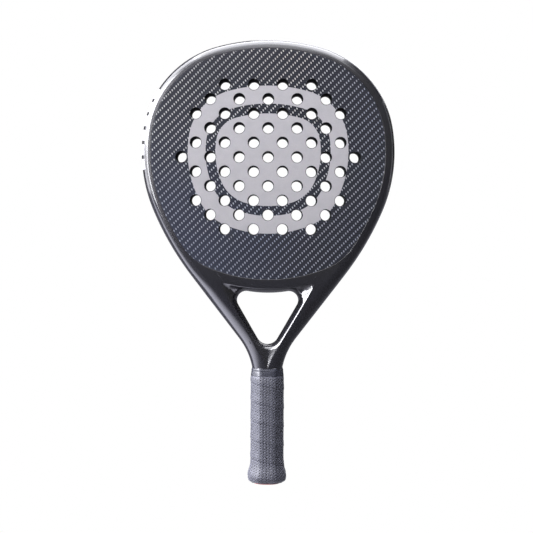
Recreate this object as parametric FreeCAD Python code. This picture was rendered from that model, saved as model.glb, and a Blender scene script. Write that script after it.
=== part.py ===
"""Padel racket: a closed composite frame round a drilled foam core, with a wrapped octagonal handle.

Frame: +Z runs up the handle to the top of the head, the front face looks to -Y, X is the width.
The origin is the centre of the lowest point of the butt, in the middle of the thickness.
Every length is in millimetres and every angle in degrees.
"""
import FreeCAD
import Part
import math
import os

# ---- driving dimensions ------------------------------------------------------------------------
LENGTH = 455.0                 # butt end to the top of the head
THICKNESS = 38.0               # over both faces

# Right half of the outline from the top of the head: (radius, turn), then a straight and the neck.
HEAD_ARCS = [(197.5, 15.72), (103.0, 64.91), (153.2, 32.56), (305.0, 14.36)]
ARM_STRAIGHT = 80.7
NECK_RADIUS = 72.1

# Section of the rim, as depth in from the outline and height above mid-thickness.
EDGE_BEVEL_SLOPE = 13.0        # of the narrow bevel beside the face
EDGE_BEVEL_WIDTH = 2.9
FACE_INSET = 10.5              # from the outline to the edge of the woven face
ROUND_RADIUS = 8.0             # of the rim's shoulder
TUBE_WIDTH = 22.0              # of the frame tube round the head
ARM_WIDTH = 24.0               # of the stock that the arms are cut from
TUBE_WALL = 1.8
ARM_HOLLOW_WIDTH = 9.6         # of each hollow in the arms and the neck
ARM_SIDE_WALL = 2.5            # beside the hollow in the arms
HEAD_SIDE_WALL = 2.8           # beside the hollow round the head
ARM_FACE_WALL = 4.2            # over and under the hollow in the arms, which are rounded off

# The face stack, outwards from the core.
GLASS_PLY = 0.55
CARBON_PLY = 0.35
FILM = 0.10
BOND = 0.05                    # bond line round a piece that is let into another
BRIDGE_TRIM = 0.8              # off the bridge's thin upper corners, beside the tube

# The lower edge of the face and of the core: arcs about one centre, with blended corners.
FACE_ARC_CENTRE_Z = 369.1
FACE_ARC_RADIUS = 158.0
CORE_ARC_RADIUS = 150.0
CORNER_RADIUS = 60.0

# Drilled holes, on a diamond lattice.
HOLE_RADIUS = 5.6
HOLE_ROWS = [4, 5, 6, 5, 6, 7, 6, 5, 6, 5, 4]
HOLE_ROW_PITCH = 14.63
HOLE_COLUMN_PITCH = 29.3
HOLE_MIDDLE_Z = 335.0

# Silver marking on each face: a ring and a middle field, all parallel to the outline.
MARK_INSETS = [(48.0, 66.0), (76.0, None)]
MARK_BOTTOM_Z = 257.5

# Throat opening between the two arms.
THROAT_BOTTOM_Z = 155.1        # centre of the lower arc
THROAT_BOTTOM_RADIUS = 11.5
THROAT_SIDE_ANGLE = 30.0       # of each side, from upright
THROAT_SIDE = 40.34
THROAT_CORNER_RADIUS = 9.6
THROAT_TOP_RADIUS = 125.0
THROAT_BEVEL = 5.5
THROAT_BEVEL_DEPTH = 7.5

# The frame thins from the throat to the handle: (Z, half width, half depth, corner cut).
PALLET_HALF_WIDTH = 14.1
PALLET_HALF_DEPTH = 12.0
PALLET_BEVEL = 6.89
NECK_TOP_Z = 122.0
NECK_WIDENING = 1.8
TAPER_TOP_Z = 205.0            # above this the arms have their full thickness
TAPER_SHARE = 0.85             # of the full thickness and of the bevel, at the arms' lower ends
TAPER_TOP_BEVEL = 1.0

# Sunk field between the arms, under the throat opening, as half widths by height.
RECESS_STATIONS = [(121.0, 0.0), (142.0, 11.1), (150.0, 13.0)]
RECESS_FLOOR = 10.8            # above mid-thickness

# Hollow inside the bridge.
BRIDGE_INNER_WALL = 3.0        # below the core
BRIDGE_HOLLOW_DEPTH = 13.5
BRIDGE_HALF_TURN = 12.5        # degrees either side of the middle line
BRIDGE_CORNER = (2.0, 5.0)

# Shaft and handle.
SHAFT_BOTTOM_Z = 16.0
SHAFT_INSET = 2.8              # of the shaft under the handle pallets
SHAFT_WEB = 2.0                # half the wall between the two legs
PALLET_BOTTOM_Z = 10.0
BUTT_FLARE = [(1.6, 1.3), (4.0, 2.8), (8.7, 3.3), (13.0, 2.8), (21.0, 1.4), (29.5, 0.8)]
GRIP_LEVEL_Z = 34.0            # where the grip is even again above the flare
BASE_GRIP = 1.6
OVERGRIP = 0.9
BASE_GRIP_TOP_Z = 115.0
OVERGRIP_TOP_Z = 117.5
TAPE_BOTTOM_Z = 111.1
TAPE_TOP_Z = 120.3
TAPE = 0.15
CAP_FLOOR = (3.05, 6.5)
CAP_CAVITY_WALL = 1.6
GRIP_THINNING_Z = 106.3        # where both grips start to thin
PLATE_HALF_WIDTH = 13.0
PLATE_HALF_DEPTH = 10.9
PLATE_BEVEL = 5.5
PLATE_THICKNESS = 3.0
PLATE_CROWN_RADIUS = 106.0
LANYARD_RADIUS = 3.0

# Silver blocks let into the left side wall, as distances along the outline from the top.
BLOCK_START = 128.5
BLOCK_LENGTH = 11.0
BLOCK_PITCH = 15.0
BLOCK_COUNT = 6
BLOCK_HALF_HEIGHT = 6.5
BLOCK_DEPTH = 0.2

# Wire staples.
STAPLE_WIDTH = 8.0
STAPLE_WIRE = 0.5
STAPLE_LEG = 3.6
CAP_STAPLE_Z = 24.0
GRIP_STAPLE_Z = 12.0
GRIP_STAPLE_SINK = 0.1         # under the base grip's surface

HALF = THICKNESS / 2.0
PLY_TOP = HALF - FILM
PLY_MIDDLE = PLY_TOP - CARBON_PLY
CORE_TOP = PLY_MIDDLE - GLASS_PLY
BIG = 400.0


# ---- plane geometry ----------------------------------------------------------------------------
def vec(x, y, z):
    return FreeCAD.Vector(x, y, z)


def outward(theta):
    """Outward normal of the right half where the outline has turned by theta from the top."""
    turn = math.radians(theta)
    return math.sin(turn), math.cos(turn)


class ArcRun:
    """A tangent arc of the outline: bend is 1 where the outline is convex and -1 where hollow."""

    def __init__(self, start, radius, bend, theta_start, theta_end):
        nx, nz = outward(theta_start)
        self.centre = (start[0] - bend * radius * nx, start[1] - bend * radius * nz)
        self.radius = radius
        self.bend = bend
        self.theta_start = theta_start
        self.theta_end = theta_end

    def at(self, inset, theta):
        """Point at an inset from the outline, at a heading on this run."""
        nx, nz = outward(theta)
        reach = self.bend * self.radius - inset
        return self.centre[0] + reach * nx, self.centre[1] + reach * nz

    def sweep(self, section, theta_start=None, theta_end=None):
        """Solid of a section carried along this run, or along a part of it."""
        first = self.theta_start if theta_start is None else theta_start
        last = self.theta_end if theta_end is None else theta_end
        face = section(lambda inset, height: lift(self.at(inset, first), height))
        axis = vec(0, math.copysign(1.0, last - first), 0)
        return face.revolve(lift(self.centre, 0.0), axis, abs(last - first))


class StraightRun:
    """The straight of an arm."""

    def __init__(self, start, length, theta):
        self.start = start
        self.theta = theta
        turn = math.radians(theta)
        self.step = (length * math.cos(turn), -length * math.sin(turn))

    def at(self, inset, fraction):
        """Point at an inset from the outline, at a fraction of the straight."""
        nx, nz = outward(self.theta)
        x = self.start[0] + fraction * self.step[0] - inset * nx
        z = self.start[1] + fraction * self.step[1] - inset * nz
        return x, z

    def sweep(self, section):
        face = section(lambda inset, height: lift(self.at(inset, 0.0), height))
        return face.extrude(vec(self.step[0], 0, self.step[1]))


def outline_runs():
    """The head's arcs, the arm's straight and the neck's arc, all tangent to each other."""
    point = (0.0, LENGTH)
    theta = 0.0
    arcs = []
    for radius, turn in HEAD_ARCS:
        arcs.append(ArcRun(point, radius, 1, theta, theta + turn))
        theta += turn
        point = arcs[-1].at(0.0, theta)
    arm = StraightRun(point, ARM_STRAIGHT, theta)
    neck = ArcRun(arm.at(0.0, 1.0), NECK_RADIUS, -1, theta, 90.0)
    return arcs, arm, neck


def lift(point, height):
    """A point of the face's plane, at a height in the thickness."""
    return vec(point[0], height, point[1])


def polygon_face(corners):
    return Part.Face(Part.makePolygon(corners + [corners[0]]))


def arc_edge(first, middle, last):
    return Part.Arc(first, middle, last).toShape()


def line_edge(first, last):
    return Part.LineSegment(first, last).toShape()


def round_edge(centre, radius, first, last, height):
    """Arc between two points of the face's plane, on the short way about its centre."""
    mx = (first[0] + last[0]) / 2.0 - centre[0]
    mz = (first[1] + last[1]) / 2.0 - centre[1]
    scale = radius / math.hypot(mx, mz)
    middle = (centre[0] + mx * scale, centre[1] + mz * scale)
    return arc_edge(lift(first, height), lift(middle, height), lift(last, height))


def mirrored_wire(edges):
    """Closed wire from the edges of the right half, taken from the top to the middle line."""
    left = [edge.mirror(vec(0, 0, 0), vec(1, 0, 0)) for edge in edges]
    return Part.Wire(Part.__sortEdges__(edges + left))


def towards(centre, point, radius):
    """Point at a radius from a centre, in the direction of another point."""
    dx = point[0] - centre[0]
    dz = point[1] - centre[1]
    scale = radius / math.hypot(dx, dz)
    return centre[0] + dx * scale, centre[1] + dz * scale


def lower_meeting(centre_a, radius_a, centre_b, radius_b):
    """Lower right point where two circles of the face's plane cross, or None."""
    dx = centre_b[0] - centre_a[0]
    dz = centre_b[1] - centre_a[1]
    gap = math.hypot(dx, dz)
    along = (radius_a ** 2 - radius_b ** 2 + gap ** 2) / (2.0 * gap)
    if abs(along) >= radius_a:
        return None
    aside = math.sqrt(radius_a ** 2 - along ** 2)
    foot = (centre_a[0] + along * dx / gap, centre_a[1] + along * dz / gap)
    options = []
    for side in (1, -1):
        options.append((foot[0] - side * aside * dz / gap, foot[1] + side * aside * dx / gap))
    return max(options, key=lambda point: point[0] - point[1])


def head_wire(inset, bottom_radius, height, corner=CORNER_RADIUS):
    """Closed line parallel to the head, shut below by an arc with blended corners."""
    arcs = outline_runs()[0]
    low_centre = (0.0, FACE_ARC_CENTRE_Z)
    edges = []
    for arc in arcs:
        reach = arc.radius - inset
        blend = lower_meeting(arc.centre, reach - corner, low_centre, bottom_radius - corner)
        theta = 0.0
        if blend:
            leave = towards(arc.centre, blend, reach)
            theta = math.degrees(math.atan2(leave[0] - arc.centre[0], leave[1] - arc.centre[1]))
        if arc.theta_start < theta < arc.theta_end and leave[1] < FACE_ARC_CENTRE_Z:
            first = arc.at(inset, arc.theta_start)
            edges.append(round_edge(arc.centre, reach, first, leave, height))
            land = towards(low_centre, blend, bottom_radius)
            edges.append(round_edge(blend, corner, leave, land, height))
            bottom = (0.0, FACE_ARC_CENTRE_Z - bottom_radius)
            edges.append(round_edge(low_centre, bottom_radius, land, bottom, height))
            return mirrored_wire(edges)
        first = arc.at(inset, arc.theta_start)
        last = arc.at(inset, arc.theta_end)
        edges.append(round_edge(arc.centre, reach, first, last, height))
    raise ValueError("the lower arc misses the head's arcs")


def head_slab(inset, bottom_radius, low, high, corner=CORNER_RADIUS):
    """Slab of the head's shape between two heights in the thickness."""
    face = Part.Face(head_wire(inset, bottom_radius, low, corner))
    return face.extrude(vec(0, high - low, 0))


def throat_wire(grow, height):
    """Outline of the throat opening, made larger all round by grow."""
    angle = math.radians(THROAT_SIDE_ANGLE)
    normal = (math.cos(angle), -math.sin(angle))
    along = (math.sin(angle), math.cos(angle))
    low = (0.0, THROAT_BOTTOM_Z)
    shift = THROAT_BOTTOM_RADIUS - THROAT_CORNER_RADIUS
    corner_x = low[0] + THROAT_SIDE * along[0] + shift * normal[0]
    corner_z = low[1] + THROAT_SIDE * along[1] + shift * normal[1]
    rise = math.sqrt((THROAT_TOP_RADIUS + THROAT_CORNER_RADIUS) ** 2 - corner_x ** 2)
    top_centre = (0.0, corner_z + rise)
    low_radius = THROAT_BOTTOM_RADIUS + grow
    corner_radius = THROAT_CORNER_RADIUS + grow
    top_radius = THROAT_TOP_RADIUS - grow
    top_middle = (0.0, top_centre[1] - top_radius)
    corner = (corner_x, corner_z)
    meet_top = towards(corner, top_centre, corner_radius)
    meet_side = (corner_x + corner_radius * normal[0], corner_z + corner_radius * normal[1])
    side_end = (low[0] + low_radius * normal[0], low[1] + low_radius * normal[1])
    bottom = (0.0, low[1] - low_radius)
    edges = [
        round_edge(top_centre, top_radius, top_middle, meet_top, height),
        round_edge(corner, corner_radius, meet_top, meet_side, height),
        line_edge(lift(meet_side, height), lift(side_end, height)),
        round_edge(low, low_radius, side_end, bottom, height),
    ]
    return mirrored_wire(edges)


# ---- sections and solids -----------------------------------------------------------------------
def rim_shape():
    """Crease, shoulder centre, wall radius and wall end of the rim's section, as (inset, height)."""
    slope = math.radians(EDGE_BEVEL_SLOPE)
    crease = (FACE_INSET - EDGE_BEVEL_WIDTH, PLY_TOP - EDGE_BEVEL_WIDTH * math.tan(slope))
    shoulder_x = crease[0] + ROUND_RADIUS * math.sin(slope)
    shoulder_y = crease[1] - ROUND_RADIUS * math.cos(slope)
    # The bulged wall is centred on mid-thickness and is tangent to the shoulder from outside.
    wall = (shoulder_x ** 2 + shoulder_y ** 2 - ROUND_RADIUS ** 2) / (2.0 * (shoulder_x - ROUND_RADIUS))
    end_x, end_y = towards((wall, 0.0), (shoulder_x, shoulder_y), wall)
    return crease, (shoulder_x, shoulder_y), wall, (end_x, end_y)


def rim_section(width):
    """Full section of the rim stock down to a width, with its bulged wall and two shoulders."""
    crease, shoulder, wall, wall_end = rim_shape()
    lean = math.radians((EDGE_BEVEL_SLOPE + 90.0) / 2.0)
    middle = (shoulder[0] - ROUND_RADIUS * math.cos(lean), shoulder[1] + ROUND_RADIUS * math.sin(lean))

    def build(place):
        def pair(point, side):
            return place(point[0], side * point[1])
        edges = [arc_edge(pair(wall_end, -1), place(0.0, 0.0), pair(wall_end, 1))]
        for side in (1, -1):
            edges.append(arc_edge(pair(wall_end, side), pair(middle, side), pair(crease, side)))
            edges.append(line_edge(pair(crease, side), place(FACE_INSET, side * PLY_TOP)))
            edges.append(line_edge(place(FACE_INSET, side * PLY_TOP), place(width, side * PLY_TOP)))
        edges.append(line_edge(place(width, PLY_TOP), place(width, -PLY_TOP)))
        return Part.Face(Part.Wire(Part.__sortEdges__(edges)))

    return build


def hollow_section(first, last, gap):
    """Section of the tube's hollow, a box with its outer corners cut, gap clear of the wall."""
    reach = CORE_TOP - TUBE_WALL - gap
    cut = ROUND_RADIUS

    def build(place):
        low = first + gap
        high = last - gap
        corners = [(low, -reach + cut), (low, reach - cut), (low + cut / 2.0, reach),
                   (high, reach), (high, -reach), (low + cut / 2.0, -reach)]
        return polygon_face([place(inset, height) for inset, height in corners])

    return build


def block_section(depth):
    """Section of a block let into the bulged side wall."""
    wall = rim_shape()[2]

    def build(place):
        def edge_at(radius, side):
            height = side * BLOCK_HALF_HEIGHT
            return place(wall - math.sqrt(radius ** 2 - height ** 2), height)
        inner = wall - depth
        edges = [
            arc_edge(edge_at(wall, -1), place(0.0, 0.0), edge_at(wall, 1)),
            line_edge(edge_at(wall, 1), edge_at(inner, 1)),
            arc_edge(edge_at(inner, 1), place(depth, 0.0), edge_at(inner, -1)),
            line_edge(edge_at(inner, -1), edge_at(wall, -1)),
        ]
        return Part.Face(Part.Wire(edges))

    return build


def both_sides(right):
    """The right half, cut at the middle line, with its mirror image."""
    room = Part.makeBox(BIG, BIG, 2 * BIG, vec(0, -BIG / 2.0, -BIG / 2.0))
    half = right.common(room)
    return half.fuse(half.mirror(vec(0, 0, 0), vec(1, 0, 0)))


def octagon(z, half_width, half_depth, bevel):
    """Octagonal section of the handle at a height."""
    w, d = half_width, half_depth
    corners = [(w, d - bevel), (w - bevel, d), (bevel - w, d), (-w, d - bevel),
               (-w, bevel - d), (bevel - w, -d), (w - bevel, -d), (w, bevel - d)]
    points = [vec(x, y, z) for x, y in corners]
    return Part.makePolygon(points + [points[0]])


def loft(wires):
    return Part.makeLoft(wires, True, True)


def neck_widening(z):
    """How far the neck's half width has grown above the handle pallets."""
    start = outline_runs()[2].at(0.0, 90.0)[1]
    return max(0.0, NECK_WIDENING * (z - start) / (NECK_TOP_Z - start))


def grip_section(z, grow):
    """Section of a layer that lies a distance outside the handle pallets."""
    width = PALLET_HALF_WIDTH + neck_widening(z) + grow
    bevel = PALLET_BEVEL + grow * (2.0 - math.sqrt(2.0))
    return octagon(z, width, PALLET_HALF_DEPTH + grow, bevel)


def grip_solid(stations):
    return loft([grip_section(z, grow) for z, grow in stations])


def flare(layer, lowest=0.0):
    """Stations of a layer over the butt's flare, from a lowest height up."""
    return [(z, grow + layer) for z, grow in BUTT_FLARE if z >= lowest]


# ---- frame -------------------------------------------------------------------------------------
def taper_room(gap, head_gap):
    """The space that the frame fills, thinning from the full arms down to the neck.

    The arms are drawn in by gap, and the part above them by head_gap.
    """
    neck_z = outline_runs()[2].at(0.0, 90.0)[1]
    arm = outline_runs()[1]
    arm_low = arm.at(0.0, 1.0)
    side = gap * (2.0 - math.sqrt(2.0))
    mid_depth = (PALLET_HALF_DEPTH + HALF * TAPER_SHARE) / 2.0
    stations = [
        (neck_z, PALLET_HALF_WIDTH, PALLET_HALF_DEPTH, PALLET_BEVEL),
        (NECK_TOP_Z, PALLET_HALF_WIDTH + NECK_WIDENING, PALLET_HALF_DEPTH, PALLET_BEVEL),
        (arm_low[1], arm_low[0] + BOND, mid_depth, PALLET_BEVEL * TAPER_SHARE),
        (TAPER_TOP_Z, arm_low[0] + (TAPER_TOP_Z - arm_low[1]) * arm.step[0] / arm.step[1] + BOND, HALF,
         TAPER_TOP_BEVEL),
    ]
    wires = [octagon(z, w - gap, d - gap, b - side) for z, w, d, b in stations[:-1]]
    z, w, d, b = stations[-1]
    wires.append(octagon(z, w - gap, d - gap, b))
    room = loft(wires)
    upper = Part.makeBox(BIG, THICKNESS - 2 * head_gap, BIG, vec(-BIG / 2.0, head_gap - HALF, TAPER_TOP_Z))
    return room.fuse(upper)


def frame_stock():
    """Rim stock swept round the head, down both arms and into the neck."""
    arcs, arm, neck = outline_runs()
    right = [arc.sweep(rim_section(TUBE_WIDTH)) for arc in arcs]
    right.append(arm.sweep(rim_section(ARM_WIDTH)))
    right.append(neck.sweep(rim_section(ARM_WIDTH)))
    return both_sides(right[0].multiFuse(right[1:])).common(taper_room(0.0, 0.0))


def shaft_block(gap, bottom):
    """The shaft inside the handle."""
    top = outline_runs()[2].at(0.0, 90.0)[1]
    return loft([grip_section(z, -SHAFT_INSET - gap) for z in (bottom, top)])


def frame_hollow(gap):
    """The two legs' hollow, from the open lower ends up round the head."""
    arcs, arm, neck = outline_runs()
    round_head = hollow_section(HEAD_SIDE_WALL, TUBE_WIDTH - TUBE_WALL, gap)
    in_arm = hollow_section(ARM_SIDE_WALL, ARM_SIDE_WALL + ARM_HOLLOW_WIDTH, gap)
    right = [arc.sweep(round_head) for arc in arcs]
    right.append(arm.sweep(in_arm))
    right.append(neck.sweep(in_arm))
    stock = both_sides(right[0].multiFuse(right[1:])).common(taper_room(ARM_FACE_WALL + gap, TUBE_WALL + gap))
    top = neck.at(0.0, 90.0)[1]
    legs = shaft_block(TUBE_WALL + gap, SHAFT_BOTTOM_Z)
    web = Part.makeBox(2 * (SHAFT_WEB + gap), BIG, top + 1.0, vec(-SHAFT_WEB - gap, -BIG / 2.0, 0.0))
    return stock.fuse(legs.cut(web))


def throat_cutter():
    """Prism of the throat opening with a bevel at each face."""
    through = Part.Face(throat_wire(0.0, -BIG / 2.0)).extrude(vec(0, BIG, 0))
    start = HALF - THROAT_BEVEL_DEPTH
    for side in (-1, 1):
        wires = [throat_wire(0.0, side * start), throat_wire(THROAT_BEVEL, side * HALF)]
        through = through.fuse(loft(wires))
    return through


def neck_recess():
    """The field between the arms, under the throat opening, on both faces."""
    right = [(half_width, z) for z, half_width in RECESS_STATIONS]
    left = [(-half_width, z) for z, half_width in reversed(RECESS_STATIONS) if half_width]
    corners = [vec(x, RECESS_FLOOR, z) for x, z in right + left]
    field = polygon_face(corners).extrude(vec(0, HALF, 0))
    return field.fuse(field.mirror(vec(0, 0, 0), vec(0, 1, 0)))


def face_recess():
    """Room for the plies in the frame and the bridge, on both faces."""
    deep = head_slab(FACE_INSET, FACE_ARC_RADIUS, CORE_TOP, HALF + 1.0)
    return deep.fuse(deep.mirror(vec(0, 0, 0), vec(0, 1, 0)))


def make_rim_blocks(depth=BLOCK_DEPTH):
    """Plain silver blocks let into the left side wall."""
    blocks = []
    for index in range(BLOCK_COUNT):
        first = BLOCK_START + index * BLOCK_PITCH
        travelled = 0.0
        for arc in outline_runs()[0]:
            run = arc.radius * math.radians(arc.theta_end - arc.theta_start)
            if travelled <= first < travelled + run:
                theta = arc.theta_start + math.degrees((first - travelled) / arc.radius)
                turn = math.degrees(BLOCK_LENGTH / arc.radius)
                block = arc.sweep(block_section(depth), theta, theta + turn)
                blocks.append(block.mirror(vec(0, 0, 0), vec(1, 0, 0)))
            travelled += run
    return Part.makeCompound(blocks)


def make_frame_tube():
    """One hollow tube round the head, down both arms and into the handle as two legs."""
    frame = frame_stock().fuse(shaft_block(0.0, SHAFT_BOTTOM_Z))
    frame = frame.cut(throat_cutter()).cut(neck_recess()).cut(face_recess()).cut(frame_hollow(0.0))
    return frame.cut(make_rim_blocks())


def make_frame_tube_foam():
    return frame_hollow(BOND)


def bridge_hollow(gap):
    """Curved box inside the bridge."""
    inner = CORE_ARC_RADIUS + BRIDGE_INNER_WALL + gap
    outer = inner + BRIDGE_HOLLOW_DEPTH - 2 * gap
    half_turn = BRIDGE_HALF_TURN - gap
    reach = CORE_TOP - TUBE_WALL - gap
    turn = math.radians(half_turn)
    cut_in, cut_up = BRIDGE_CORNER
    corners = [(inner, -reach), (outer - cut_in, -reach), (outer, -reach + cut_up),
               (outer, reach - cut_up), (outer - cut_in, reach), (inner, reach)]
    points = [vec(radius * math.sin(turn), height, FACE_ARC_CENTRE_Z - radius * math.cos(turn))
              for radius, height in corners]
    return polygon_face(points).revolve(vec(0, 0, FACE_ARC_CENTRE_Z), vec(0, 1, 0), 2 * half_turn)


def make_throat_bridge():
    """Hollow bridge that closes the head above the throat opening."""
    arcs, arm, neck = outline_runs()
    right = [arc.sweep(rim_section(TUBE_WIDTH)) for arc in arcs]
    right += [arm.sweep(rim_section(ARM_WIDTH)), neck.sweep(rim_section(ARM_WIDTH))]
    stock = both_sides(right[0].multiFuse(right[1:]))
    span = 2 * outline_runs()[0][-1].at(0.0, outline_runs()[0][-1].theta_end)[0]
    blank = Part.makeBox(span, 2 * PLY_TOP, 60.0, vec(-span / 2.0, -PLY_TOP, 190.0))
    core = head_slab(TUBE_WIDTH - BRIDGE_TRIM, CORE_ARC_RADIUS, -HALF - 1.0, HALF + 1.0)
    bridge = blank.cut(stock).cut(core).cut(throat_cutter()).cut(face_recess())
    solid = max(bridge.Solids, key=lambda piece: piece.Volume)
    return solid.cut(bridge_hollow(0.0))


def make_throat_bridge_foam():
    return bridge_hollow(BOND)


# ---- head --------------------------------------------------------------------------------------
def hole_centres():
    centres = []
    for row, count in enumerate(HOLE_ROWS):
        z = HOLE_MIDDLE_Z + ((len(HOLE_ROWS) - 1) / 2.0 - row) * HOLE_ROW_PITCH
        for column in range(count):
            centres.append(((column - (count - 1) / 2.0) * HOLE_COLUMN_PITCH, z))
    return centres


def drill(solid):
    """The same holes through any piece of the head."""
    drills = [Part.makeCylinder(HOLE_RADIUS, THICKNESS + 2.0, vec(x, -HALF - 1.0, z), vec(0, 1, 0))
              for x, z in hole_centres()]
    return solid.cut(Part.makeCompound(drills))


def make_eva_core():
    return drill(head_slab(TUBE_WIDTH + BOND, CORE_ARC_RADIUS - BOND, -CORE_TOP, CORE_TOP))


def make_ply(side, low, high):
    """A ply over one face: side is -1 at the front and 1 at the back."""
    slab = drill(head_slab(FACE_INSET + BOND, FACE_ARC_RADIUS - BOND, low, high))
    return slab if side > 0 else slab.mirror(vec(0, 0, 0), vec(0, 1, 0))


def make_face_mark(side):
    """Thin silver film on one face: a ring and a middle field, drilled with the face."""
    pieces = []
    for outer, inner in MARK_INSETS:
        bottom = FACE_ARC_CENTRE_Z - MARK_BOTTOM_Z
        rest = bottom - (outer - MARK_INSETS[0][0])
        corner = min(CORNER_RADIUS, rest * 0.45)
        piece = head_slab(outer, rest, PLY_TOP, HALF, corner)
        if inner:
            rest -= inner - outer
            corner = min(CORNER_RADIUS, rest * 0.45)
            piece = piece.cut(head_slab(inner, rest, PLY_TOP - 1.0, HALF + 1.0, corner))
        pieces += drill(piece).Solids
    film = Part.makeCompound(pieces)
    return film if side > 0 else film.mirror(vec(0, 0, 0), vec(0, 1, 0))


# ---- handle ------------------------------------------------------------------------------------
def make_staple(x, crown, z, side):
    """A wire staple whose crown lies at a height in the thickness, driven towards the middle."""
    low = crown - STAPLE_WIRE
    wide = Part.makeBox(STAPLE_WIDTH, STAPLE_WIRE, STAPLE_WIRE,
                        vec(x - STAPLE_WIDTH / 2.0, low, z - STAPLE_WIRE / 2.0))
    staple = wide
    for end in (-1, 1):
        leg_x = x + end * (STAPLE_WIDTH - STAPLE_WIRE) / 2.0 - STAPLE_WIRE / 2.0
        leg = Part.makeBox(STAPLE_WIRE, STAPLE_LEG, STAPLE_WIRE,
                           vec(leg_x, crown - STAPLE_LEG, z - STAPLE_WIRE / 2.0))
        staple = staple.fuse(leg)
    staple = staple.removeSplitter()
    return staple if side > 0 else staple.mirror(vec(0, 0, 0), vec(0, 1, 0))


def make_cap_staples():
    """Staples through the cap's skirt into the pallets, flush with the skirt."""
    crown = PALLET_HALF_DEPTH + 1.0
    return Part.makeCompound([make_staple(0.0, crown, CAP_STAPLE_Z, side) for side in (-1, 1)])


def make_grip_staple():
    """The staple at the lower start of the base grip, under its next turn."""
    crown = PALLET_HALF_DEPTH + BUTT_FLARE[3][1] + BASE_GRIP - GRIP_STAPLE_SINK
    return make_staple(0.0, crown, GRIP_STAPLE_Z, 1)


def make_handle_pallet(side):
    """Moulded half shell that builds the shaft up to the octagonal handle."""
    top = outline_runs()[2].at(0.0, 90.0)[1]
    block = grip_solid([(PALLET_BOTTOM_Z, 0.0), (top, 0.0)])
    half = Part.makeBox(BIG, BIG, BIG, vec(-BIG / 2.0, 0.0 if side > 0 else -BIG, 0.0))
    shaft = shaft_block(-BOND, PALLET_BOTTOM_Z - 1.0)
    return block.common(half).cut(shaft).cut(make_cap_staples())


def make_butt_cap():
    """Flared moulded cap over the foot of the pallets, with a floor and a plate recess."""
    cap = grip_solid(flare(0.0))
    pocket = grip_solid([(PALLET_BOTTOM_Z - BOND, BOND), (BUTT_FLARE[-1][0] + 1.0, BOND)])
    cavity = grip_solid([(z, -CAP_CAVITY_WALL) for z in (CAP_FLOOR[1], PALLET_BOTTOM_Z)])
    recess = loft([octagon(z, PLATE_HALF_WIDTH + BOND, PLATE_HALF_DEPTH + BOND, PLATE_BEVEL)
                   for z in (-1.0, CAP_FLOOR[0])])
    hole = Part.makeCylinder(LANYARD_RADIUS, CAP_FLOOR[1] + 2.0, vec(0, 0, -1.0))
    cap = cap.cut(pocket).cut(cavity).cut(recess).cut(hole)
    return cap.cut(make_cap_staples()).cut(make_grip_staple())


def make_butt_end_plate():
    """Crowned plate let into the foot of the cap, with the lanyard hole."""
    plate = loft([octagon(z, PLATE_HALF_WIDTH, PLATE_HALF_DEPTH, PLATE_BEVEL)
                  for z in (0.0, PLATE_THICKNESS)])
    plate = plate.common(Part.makeSphere(PLATE_CROWN_RADIUS, vec(0, 0, PLATE_CROWN_RADIUS)))
    return plate.cut(Part.makeCylinder(LANYARD_RADIUS, 2 * PLATE_THICKNESS, vec(0, 0, -1.0)))


def make_base_grip():
    """Cushion grip over the cap's skirt and the pallets, thinned at its top end."""
    start = BUTT_FLARE[1][0]
    outer = flare(BASE_GRIP, start) + [(GRIP_LEVEL_Z, BASE_GRIP), (GRIP_THINNING_Z, BASE_GRIP), (110.0, 1.3),
                                       (BASE_GRIP_TOP_Z, 0.35)]
    skirt = BUTT_FLARE[-1][0]
    inner = flare(BOND, start) + [(skirt + 0.5, BUTT_FLARE[-1][1] + BOND), (skirt + 1.0, BOND),
                                  (GRIP_THINNING_Z, BOND), (BASE_GRIP_TOP_Z, BOND)]
    return grip_solid(outer).cut(grip_solid(inner)).cut(make_grip_staple())


def make_overgrip():
    """Thin perforated wrap over the base grip, drawn in under the finishing tape."""
    layer = BASE_GRIP + OVERGRIP
    outer = flare(layer) + [(GRIP_LEVEL_Z, layer), (GRIP_THINNING_Z, layer), (TAPE_BOTTOM_Z - 0.2, 2.1),
                            (TAPE_BOTTOM_Z - 0.05, 1.75), (OVERGRIP_TOP_Z, 0.6)]
    under = BASE_GRIP + BOND
    foot = BUTT_FLARE[1]
    inner = [(BUTT_FLARE[0][0], BUTT_FLARE[0][1] + BOND), (foot[0] - 0.1, foot[1] + BOND),
             (foot[0] - 0.05, foot[1] + under)]
    inner += flare(under, BUTT_FLARE[2][0])
    inner += [(GRIP_LEVEL_Z, under), (GRIP_THINNING_Z, under), (110.0, 1.35), (BASE_GRIP_TOP_Z, 0.40),
              (OVERGRIP_TOP_Z, 0.30)]
    return grip_solid(outer).cut(grip_solid(inner))


def make_finishing_tape():
    """Tape that holds the upper ends of both grips on the neck."""
    outer = [(TAPE_BOTTOM_Z, 1.80 + TAPE), (TAPE_TOP_Z, 0.30 + TAPE)]
    inner = [(TAPE_BOTTOM_Z, 1.80), (OVERGRIP_TOP_Z, 0.68), (TAPE_TOP_Z, 0.30)]
    return grip_solid(outer).cut(grip_solid(inner))


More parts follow.
